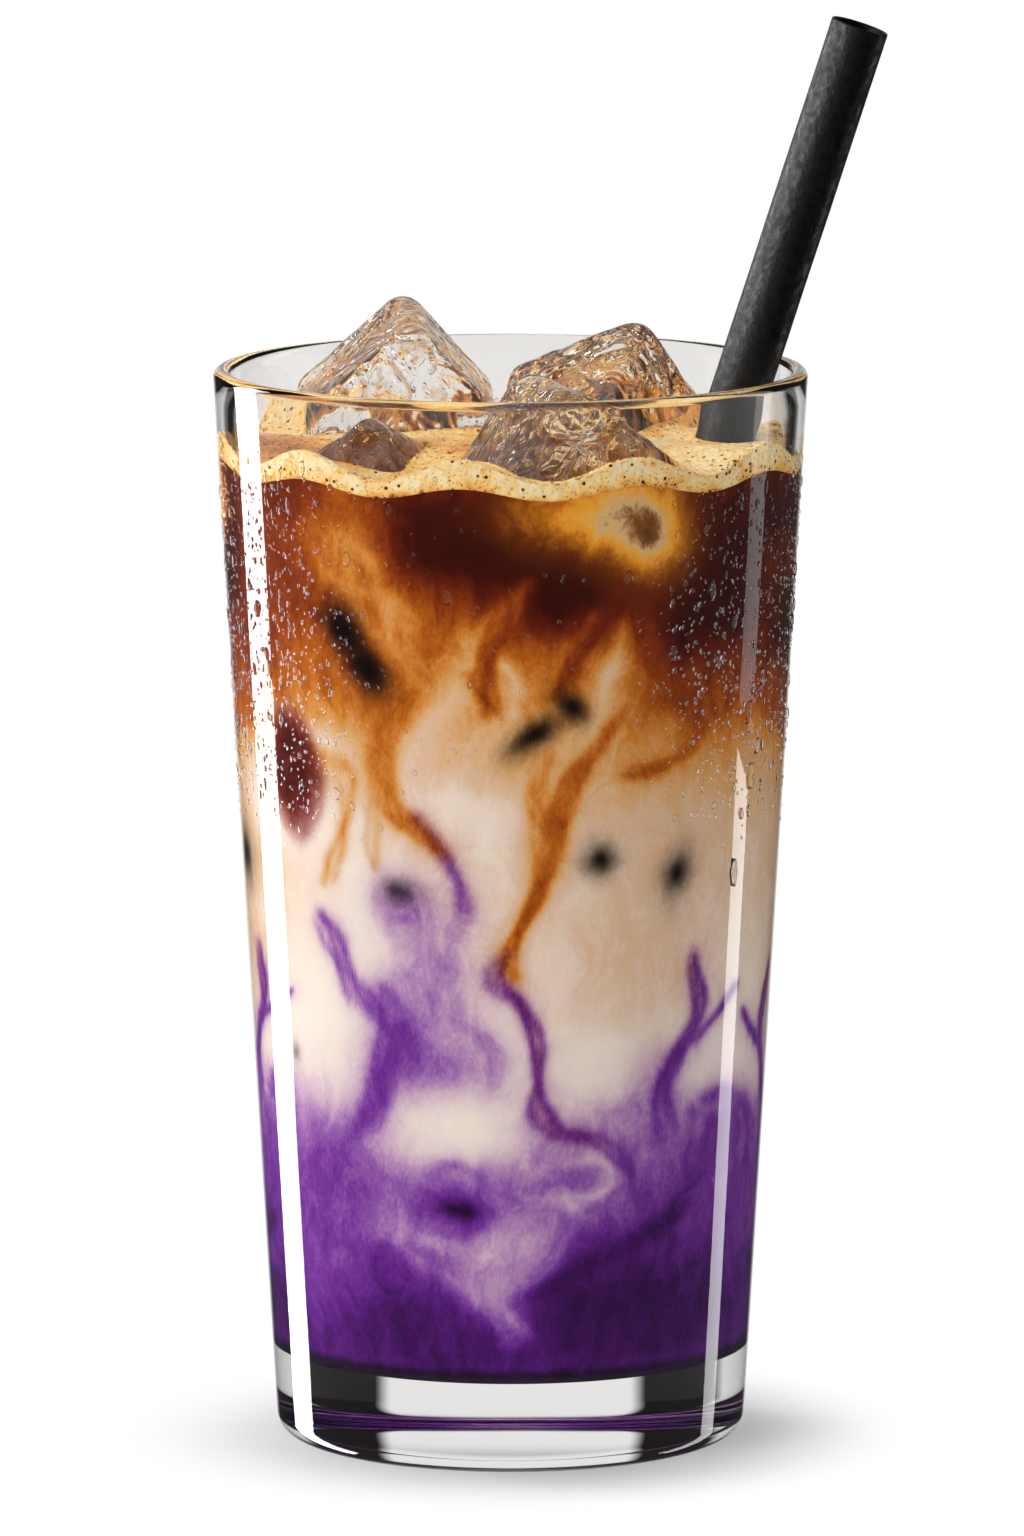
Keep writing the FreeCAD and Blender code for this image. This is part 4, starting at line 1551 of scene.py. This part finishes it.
@dataclass
class Crema:
    """The foam: a dense sheet with open bubbles, drawn up to the wall, the ice and the straw."""

    form: CremaShape
    cubes: tuple[Cube, ...]
    straw: Straw
    columns: int = 640
    rows: int = 100
    side_rows: int = 12
    under_rows: int = 24
    press: float = 0.3
    # Depth and width of the froth's relief, rise and reach by ice and straw, sag and reach by the wall.
    froth: tuple[float, float] = (0.12, 2.4)
    cling: tuple[float, float] = (0.4, 0.7)
    sag: tuple[float, float] = (0.3, 2.0)
    top_pocket: Pocket = Pocket(-0.25, 0.3)
    under_pocket: Pocket = Pocket(0.9, 0.6)
    stains: tuple[Hump, ...] = ((-31, -10, 0.34, 8), (-6, -8, 0.2, 7), (0, 27, 0.3, 10),
                                (30, 16, 0.2, 8), (-14, -33, 0.1, 5))
    # Azimuth, radius from the axis and bubble radius of the large bubbles; number of small ones.
    large: tuple[tuple[float, float, float], ...] = (
        (-11.0, 37.2, 1.3), (-38.0, 37.3, 0.65), (-33.0, 37.2, 0.55), (-30.5, 37.4, 0.6),
        (28.0, 37.0, 0.8), (140.0, 37.0, 1.2), (-150.0, 36.8, 1.0), (95.0, 37.2, 0.9))
    small: int = 500
    on_side: int = 70

    def reach(self) -> float:
        """Radius of the foam's edge, just inside the wall."""
        return self.form.wall_radius() + self.press

    def bubbles(self) -> list[tuple[float, float, float]]:
        """Places and radii of the bubbles: a few large by the front, many small by edges.

        Returns:
            Azimuth, radius from the axis and bubble radius.
        """
        rng = np.random.default_rng(71)
        azimuth = rng.uniform(-180, 180, self.small)
        edge = rng.random(self.small) < 0.6
        radius = np.where(edge, 38.2 - rng.exponential(1.4, self.small),
                          38 * np.sqrt(rng.random(self.small)))
        size = np.minimum(0.2 + rng.exponential(0.12, self.small), 0.75)
        kept = radius > 2
        return [*self.large, *zip(azimuth[kept], radius[kept], size[kept])]

    def relief(self, x: np.ndarray, y: np.ndarray) -> tuple[np.ndarray, np.ndarray]:
        """Foam relief and tone: each bubble is a bowl with a raised lip, dark inside.

        Args:
            x: Places across.
            y: Places to the rear.

        Returns:
            Heights to add and tones to add.
        """
        height = np.zeros_like(x)
        tone = np.zeros_like(x)
        for azimuth, radius, size in self.bubbles():
            dx, dy = (place - middle for place, middle in zip((x, y), on_plan(azimuth, radius)))
            near = np.nonzero((np.abs(dx) < 2.4 * size) & (np.abs(dy) < 2.4 * size))
            gap = np.hypot(dx[near], dy[near]) / size
            height[near] += size * (0.3 * bell(gap, 1.1, 0.3) - 0.75 * bell(gap, 0, 0.75))
            tone[near] += 0.5 * bell(gap, 0, 0.8) - 0.12 * bell(gap, 1.2, 0.3)
        return height, tone

    def obstacles(self, places: np.ndarray) -> np.ndarray:
        """Distance to the nearest block or to the straw."""
        gaps = [cube.distance(places) for cube in self.cubes] + [self.straw.distance(places)]
        return np.min(gaps, axis=0)

    def build(self, finish: Foam) -> bpy.types.Object:
        """Make the foam as one closed body in place of its solid.

        Args:
            finish: Finish of the foam.

        Returns:
            The piece.
        """
        turn = full_turn(self.columns)
        top, tone = self.top(turn)
        side, under = self.side_and_under(turn, top[-1, :, 2])
        grid = np.concatenate([top, side, under])
        tones = np.concatenate([tone, self.side_tone(side), np.full(under.shape[:2], 0.2)])
        tones = np.concatenate([tones.ravel(), [tone[0].mean(), 0.3]])
        vertices = np.concatenate([grid.reshape(-1, 3), poles(grid)])
        faces = [f[:, ::-1] for f in closed_faces(len(grid), self.columns)]
        piece = mesh_piece("crema_foam", vertices, faces, finish.build(),
                           colours={"tone": grey(tones)})
        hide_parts("crema")
        return piece

    def top(self, turn: np.ndarray) -> tuple[np.ndarray, np.ndarray]:
        """The foam's top: its drawn level with bubbles and froth, which fade at ice and wall.

        It climbs by e to the minus distance at ice and straw, sags likewise from the wall, and is
        pressed down by the ice. Its tone is darker at ice and straw, in stains and in the pockets.

        Args:
            turn: Azimuths of the columns.

        Returns:
            Rings of places from the axis to the wall, and their tones.
        """
        share = (np.arange(1, self.rows + 1) / self.rows)[:, None]
        x, y = self.fit_to_ice(*on_plan(turn, self.reach() * share))
        height = self.form.drawn(x, y)
        relief, tone = self.relief(x, y)
        places = np.stack([x, y, height], axis=-1)
        gap = self.obstacles(places)
        wall_gap = np.maximum(self.reach() - np.hypot(x, y), 0)
        rough = self.froth[0] * ValueNoise(70).fractal(places, self.froth[1], 3)
        fade = smooth_step(np.minimum(gap, wall_gap + 0.4), 0.0, 0.8)
        gap = np.maximum(gap, 0)
        height = height + (relief + rough) * fade + self.cling[0] * np.exp(-gap / self.cling[1])
        height = height - self.sag[0] * np.exp(-wall_gap / self.sag[1])
        sunk = self.top_pocket.press(x, y, height, self.cubes)
        tone = tone + 0.08 + 0.12 * np.exp(-gap / 1.5) + humps(x, y, self.stains)
        tone = tone + 0.6 * smooth_step(height - sunk, 0.3, 5.0)
        return np.stack([x, y, sunk], axis=-1), tone

    def fit_to_ice(self, x: np.ndarray, y: np.ndarray) -> tuple[np.ndarray, np.ndarray]:
        """Slide the places nearest a block onto its outline: along the slope of the distance.

        Args:
            x: Places across.
            y: Places to the rear.

        Returns:
            The moved places.
        """
        step, reach, above = 0.05, 0.3, 0.3
        places = np.stack([x, y, self.form.drawn(x, y) + above], axis=-1)
        near = np.nonzero(np.abs(self.obstacles(places)) < reach)
        here = places[near]
        for _ in range(2):
            gap = self.obstacles(here)
            slope_x = (self.obstacles(here + (step, 0, 0)) - gap) / step
            slope_y = (self.obstacles(here + (0, step, 0)) - gap) / step
            steep = np.maximum(slope_x ** 2 + slope_y ** 2, 0.2)
            here = here - np.stack([gap * slope_x / steep, gap * slope_y / steep,
                                    np.zeros_like(gap)], axis=1)
        places[near] = here
        return places[..., 0], places[..., 1]

    def side_and_under(self, turn: np.ndarray, edge: np.ndarray) -> tuple[np.ndarray, np.ndarray]:
        """The foam's side down the wall, and its underside in to the axis.

        Args:
            turn: Azimuths.
            edge: Heights of the foam at the wall.

        Returns:
            Rings of the side and of the underside.
        """
        low = self.form.bottom(*on_plan(turn, self.reach()))
        height = edge + (low - edge) * np.linspace(0, 1, self.side_rows)[1:, None]
        side = on_wall(turn, self.form.shape.inner(height) + self.press, height)
        inward = (1 - np.arange(1, self.under_rows) / self.under_rows)[:, None]
        x, y = on_plan(turn, self.reach() * inward * 0.995)
        sunk = self.under_pocket.press(x, y, self.form.bottom(x, y), self.cubes)
        return side, np.stack([x, y, sunk], axis=-1)

    def side_tone(self, side: np.ndarray) -> np.ndarray:
        """Tone of the foam at the wall: froth noise, darker at its foot, with open bubbles.

        Args:
            side: Rings of the side.

        Returns:
            A tone for each place.
        """
        tone = 0.04 + 0.1 * ValueNoise(72).fractal(side, 1.6, 3)
        tone += 0.22 * np.linspace(0, 1, len(side))[:, None] ** 3
        rng = np.random.default_rng(73)
        azimuth = azimuth_of(side)
        middle = side[..., 2].mean(axis=0)
        mm_a_degree = 0.66
        for _ in range(self.on_side):
            at, rise, size = rng.uniform(-180, 180), rng.uniform(-1.4, 1.4), 0.22 + rng.exponential(0.1)
            dx = half_turn(azimuth - at) * mm_a_degree
            near = np.nonzero(np.abs(dx) < 3 * size)
            dz = side[..., 2][near] - middle[near[1]] - rise
            tone[near] += 0.4 * bell(np.hypot(dx[near], dz), 0, size)
        return tone


@dataclass
class Condensation:
    """Dew on the outside of the wall: joined small lenses, thick by the coffee, none low down."""

    shape: GlassShape
    count: int = 3880
    columns: int = 6
    # Share of a lens's radius and of its height at each ring; the last one lies in the wall.
    ring_share: tuple[float, ...] = (0.62, 1.0, 0.75)
    ring_side: tuple[float, ...] = (1.0, 1.0, -0.25)
    back: float = -0.3
    sunk: float = 0.02
    # Azimuth, height and radius of the large drops.
    large: tuple[tuple[float, float, float], ...] = (
        (44.0, 122.0, 0.9), (51.0, 117.0, 0.8), (58.0, 104.0, 1.0), (62.0, 99.0, 0.9),
        (60.0, 95.0, 1.2), (57.0, 90.0, 0.6), (55.0, 82.0, 1.1), (-62.0, 118.0, 0.9),
        (-58.0, 110.0, 0.8), (120.0, 96.0, 1.1), (-140.0, 100.0, 1.1), (170.0, 92.0, 1.0))

    def scatter(self, rng: np.random.Generator) -> np.ndarray:
        """Place small lenses where the wall is cold, thinner at the front, and add the large drops.

        Args:
            rng: Source of the random draws.

        Returns:
            Rows of azimuth, height and radius.
        """
        azimuth = rng.uniform(-180, 180, self.count * 6)
        height = rng.uniform(78, 140, self.count * 6)
        sector = np.abs((azimuth + 60) % 120 - 60)
        clear = 0.06 + smooth_step(sector, 22, 46)
        cold = smooth_step(height, 84, 100) * (1 - 0.5 * smooth_step(height, 134, 140))
        kept = np.flatnonzero(rng.random(len(azimuth)) < clear * cold)[:self.count]
        size = np.minimum(0.14 + rng.exponential(0.1, len(kept)), 0.7)
        return np.concatenate([np.stack([azimuth[kept], height[kept], size], axis=1), self.large])

    def lens(self) -> tuple[np.ndarray, np.ndarray, np.ndarray]:
        """A lens of radius 1 and height 1: rings on half a ball and one behind it, then two poles.

        Returns:
            Place across, place along and height of each vertex.
        """
        share = np.array(self.ring_share)
        rise = np.sqrt(np.maximum(1 - share ** 2, 0)) * self.ring_side
        turn = np.radians(full_turn(self.columns))
        across = np.append(share[:, None] * np.cos(turn), [0, 0])
        along = np.append(share[:, None] * np.sin(turn), [0, 0])
        return across, along, np.append(np.repeat(rise, self.columns), [1.0, self.back])

    def build(self, finish: Dew) -> bpy.types.Object:
        """Set a stretched, wobbly lens on the wall at each place and join them.

        Args:
            finish: Finish of the dew.

        Returns:
            The piece.
        """
        rng = np.random.default_rng(81)
        azimuth, height, size = self.scatter(rng).T[..., None]
        stretch = rng.uniform(1.0, 1.5, size.shape) + 0.5 * (size > 0.55)
        rise = size * rng.uniform(0.3, 0.42, size.shape)
        across, along, lift = self.lens()
        wobble = 1 + 0.16 * np.sin(2 * np.arctan2(along, across) + rng.uniform(0, 6, size.shape))
        z = height + size * stretch * along * wobble
        radius = self.shape.outer(z) + rise * lift - self.sunk
        vertices = on_wall(azimuth + np.degrees(size * across * wobble / radius), radius, z)
        first = (np.arange(len(size)) * len(lift))[:, None, None]
        faces = [(first + f[:, ::-1]).reshape(-1, f.shape[1])
                 for f in closed_faces(len(self.ring_share), self.columns)]
        return mesh_piece("condensation_drops", vertices.reshape(-1, 3), faces,
                          finish.build())


# Studio


@dataclass(frozen=True)
class Lamp:
    """A soft lamp: its place, its size in metres, its strength and whether gloss shows it.

    It lights the named pieces alone, or everything where none is named.
    """

    name: str
    place: tuple[float, float, float]
    size: tuple[float, float]
    power: float
    in_gloss: bool = True
    only_on: tuple[str, ...] = ()


@dataclass
class Studio:
    """White floor and backdrop, soft lamps and the camera."""

    aim: tuple[float, float, float] = (0.00019, 0.0, 0.0932)
    elevation: float = 8.6
    distance: float = 1.785
    lens: float = 302.4
    lit_place: tuple[float, float, float] = (0.0, 0.0, 0.09)
    # Radii of the floor's rings and its drop under the glass, in mm.
    floor_rings: tuple[float, ...] = (50.0, 100.0, 200.0, 400.0, 800.0)
    floor_drop: float = 0.02
    lamps: tuple[Lamp, ...] = (
        Lamp("strip_left", (-0.62, 0.41, -0.05), (0.24, 1.3), 11.5),
        Lamp("strip_right", (0.70, 0.31, -0.378), (0.16, 0.65), 1.5),
        Lamp("strip_right_upper", (0.70, 0.31, 0.26), (0.16, 0.675), 0.4),
        Lamp("key_front_left", (-1.3, -1.2, 0.9), (1.0, 1.0), 17.0, False),
        Lamp("top_soft", (0.0, 0.2, 1.5), (1.2, 1.2), 10.5, False),
        Lamp("straw_side", (-0.9, -0.35, 0.3), (0.5, 0.9), 18.0, True, ("straw_tube",)),
        Lamp("ice_spark", (-0.45, -0.8, 1.0), (0.22, 0.22), 9.0, True,
             tuple(f"{cube.name}_block" for cube in ICE_CUBES)),
    )

    def build(self) -> None:
        """Set up the view, the floor, the world, the lamps and the camera."""
        bpy.context.scene.view_settings.view_transform = "Standard"
        self.make_floor()
        self.make_world()
        for lamp in self.lamps:
            self.make_lamp(lamp)
        self.make_camera()

    def make_floor(self) -> None:
        """Round floor, white to the camera away from the object, with its shadow kept near it."""
        columns = 96
        rings = np.array(self.floor_rings)[:, None]
        grid = on_wall(full_turn(columns), rings, -self.floor_drop).reshape(-1, 3)
        vertices = np.concatenate([grid, [[0, 0, -self.floor_drop]]]) * MM
        outer, middle, _ = closed_faces(len(rings), columns)
        mesh = bpy.data.meshes.new("floor")
        mesh.from_pydata(vertices.tolist(), [], middle[:, ::-1].tolist() + outer.tolist())
        material, tree, output = new_material("floor_white_sweep")
        place = add_node(tree, "ShaderNodeTexCoord")
        reach = add_node(tree, "ShaderNodeVectorMath", {"operation": "LENGTH"},
                         {0: place.outputs["Object"]})
        far = add_node(tree, "ShaderNodeMapRange", {"interpolation_type": "SMOOTHSTEP"},
                       {0: reach.outputs["Value"], 1: 0.033, 2: 0.056})
        rays = add_node(tree, "ShaderNodeLightPath")
        share = add_node(tree, "ShaderNodeMath", {"operation": "MULTIPLY"},
                         {0: rays.outputs["Is Camera Ray"], 1: far.outputs[0]})
        matt = add_node(tree, "ShaderNodeBsdfPrincipled",
                        inputs={"Base Color": linear("#f6f6f6"), "Roughness": 0.9})
        white = add_node(tree, "ShaderNodeEmission", inputs={0: (1.0, 1.0, 1.0, 1.0), 1: 1.0})
        mix = add_node(tree, "ShaderNodeMixShader", inputs={0: share.outputs[0], 1: matt.outputs[0],
                                                            2: white.outputs[0]})
        tree.links.new(mix.outputs[0], output.inputs["Surface"])
        mesh.materials.append(material)
        floor = bpy.data.objects.new("floor", mesh)
        bpy.context.scene.collection.objects.link(floor)
        floor.visible_glossy = False
        floor.visible_transmission = False

    def make_world(self) -> None:
        """World: white where seen, cards and a dark ceiling in gloss and glass, else soft grey."""
        world = bpy.data.worlds.new("studio_world")
        world.use_nodes = True
        tree = world.node_tree
        tree.nodes.clear()
        rays = add_node(tree, "ShaderNodeLightPath")
        place = add_node(tree, "ShaderNodeTexCoord")
        split = add_node(tree, "ShaderNodeSeparateXYZ", inputs={0: place.outputs["Generated"]})
        turn = add_node(tree, "ShaderNodeMath", {"operation": "ARCTAN2"},
                        {0: split.outputs["X"], 1: split.outputs["Y"]})
        aside = add_node(tree, "ShaderNodeMath", {"operation": "ABSOLUTE"}, {0: turn.outputs[0]})
        share = add_node(tree, "ShaderNodeMath", {"operation": "DIVIDE"},
                         {0: aside.outputs[0], 1: float(np.pi)})
        # Through glass: a light backdrop, a black card at 24 to 48 degrees on each side, then white.
        cards = add_node(tree, "ShaderNodeValToRGB",
                         {"stops": ((0.118, "#eeeeee"), (0.135, "#1c1a19"), (0.265, "#1c1a19"),
                                    (0.30, "#e6e6e6"), (0.50, "#d8d8d8"), (0.62, "#8c8c8c"))},
                         {0: share.outputs[0]})
        ceiling = add_node(tree, "ShaderNodeMapRange", {"interpolation_type": "SMOOTHSTEP"},
                           {0: split.outputs["Z"], 1: 0.22, 2: 0.6, 3: 1.0, 4: 0.16})
        below = add_node(tree, "ShaderNodeMix", {"data_type": "RGBA", "blend_type": "MULTIPLY"},
                         {0: 1.0, 6: cards.outputs[0], 7: ceiling.outputs[0]})
        # In gloss: light in the first 9 degrees from straight behind, then a dark room.
        dark_room = add_node(tree, "ShaderNodeValToRGB",
                             {"stops": ((0.05, "#d0d0d0"), (0.09, "#3c3c3c"), (0.27, "#3c3c3c"),
                                        (0.36, "#4a4a4a"), (1.0, "#2a2a2a"))},
                             {0: share.outputs[0]})
        shown = add_node(tree, "ShaderNodeMix", {"data_type": "RGBA"},
                         {0: rays.outputs["Is Transmission Ray"], 6: dark_room.outputs[0],
                          7: below.outputs[2]})
        sharp = add_node(tree, "ShaderNodeMath", {"operation": "MAXIMUM"},
                         {0: rays.outputs["Is Glossy Ray"], 1: rays.outputs["Is Transmission Ray"]})
        soft = add_node(tree, "ShaderNodeMix", {"data_type": "RGBA"},
                        {0: sharp.outputs[0], 6: linear("#a1a1a1"), 7: shown.outputs[2]})
        strength = add_node(tree, "ShaderNodeMix", {"data_type": "RGBA"},
                            {0: rays.outputs["Is Camera Ray"], 6: soft.outputs[2],
                             7: linear("#ffffff")})
        sky = add_node(tree, "ShaderNodeBackground", inputs={0: strength.outputs[2], 1: 1.0})
        output = add_node(tree, "ShaderNodeOutputWorld")
        tree.links.new(sky.outputs[0], output.inputs["Surface"])
        bpy.context.scene.world = world

    def make_lamp(self, lamp: Lamp) -> None:
        """Hang one area lamp and turn it to the drink.

        Args:
            lamp: The lamp.
        """
        light = bpy.data.lights.new(lamp.name, "AREA")
        light.shape = "RECTANGLE"
        light.size, light.size_y = lamp.size
        light.energy = lamp.power
        holder = bpy.data.objects.new(lamp.name, light)
        holder.location = lamp.place
        toward = Vector(self.lit_place) - holder.location
        holder.rotation_euler = toward.to_track_quat("-Z", "Y").to_euler()
        holder.visible_glossy = lamp.in_gloss
        holder.visible_transmission = False
        holder.visible_camera = False
        bpy.context.scene.collection.objects.link(holder)
        if lamp.only_on:
            lit = bpy.data.collections.new(f"{lamp.name}_lit")
            for name in lamp.only_on:
                lit.objects.link(bpy.data.objects[name])
            holder.light_linking.receiver_collection = lit

    def make_camera(self) -> None:
        """Long lens, a little above the rim's level."""
        camera = bpy.data.cameras.new("camera")
        camera.lens = self.lens
        camera.clip_end = 20
        holder = bpy.data.objects.new("camera", camera)
        tilt = np.radians(self.elevation)
        aim = np.array(self.aim)
        place = aim + self.distance * np.array([0, -np.cos(tilt), np.sin(tilt)])
        holder.location = place.tolist()
        holder.rotation_euler = Vector((aim - place).tolist()).to_track_quat("-Z", "Y").to_euler()
        bpy.context.scene.collection.objects.link(holder)
        bpy.context.scene.camera = holder


def corners(bounds: object) -> list[list[float]]:
    """Lowest and highest corner as plain lists."""
    return [[float(v) for v in corner] for corner in bounds]


def main() -> None:
    """Load the frame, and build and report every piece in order."""
    logging.basicConfig(level=logging.INFO, format="%(message)s")
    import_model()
    shape = GlassShape()
    crema = CremaShape(shape)
    straw = Straw()
    pieces = [
        CoolerGlass(shape).build(ClearGlass()),
        *Drink(shape, crema, ICE_CUBES, Marbling(shape)).build(),
        Crema(crema, ICE_CUBES, straw).build(Foam()),
        *IceBlocks(ICE_CUBES, crema).build(DrinkIce()),
        straw.build(BlackStraw()),
        Condensation(shape).build(Dew()),
    ]
    for piece in pieces:
        mesh = piece.data
        LOG.info("%s: %d vertices, %d faces", piece.name, len(mesh.vertices), len(mesh.polygons))
    Studio().build()


if __name__ == "__main__":
    main()
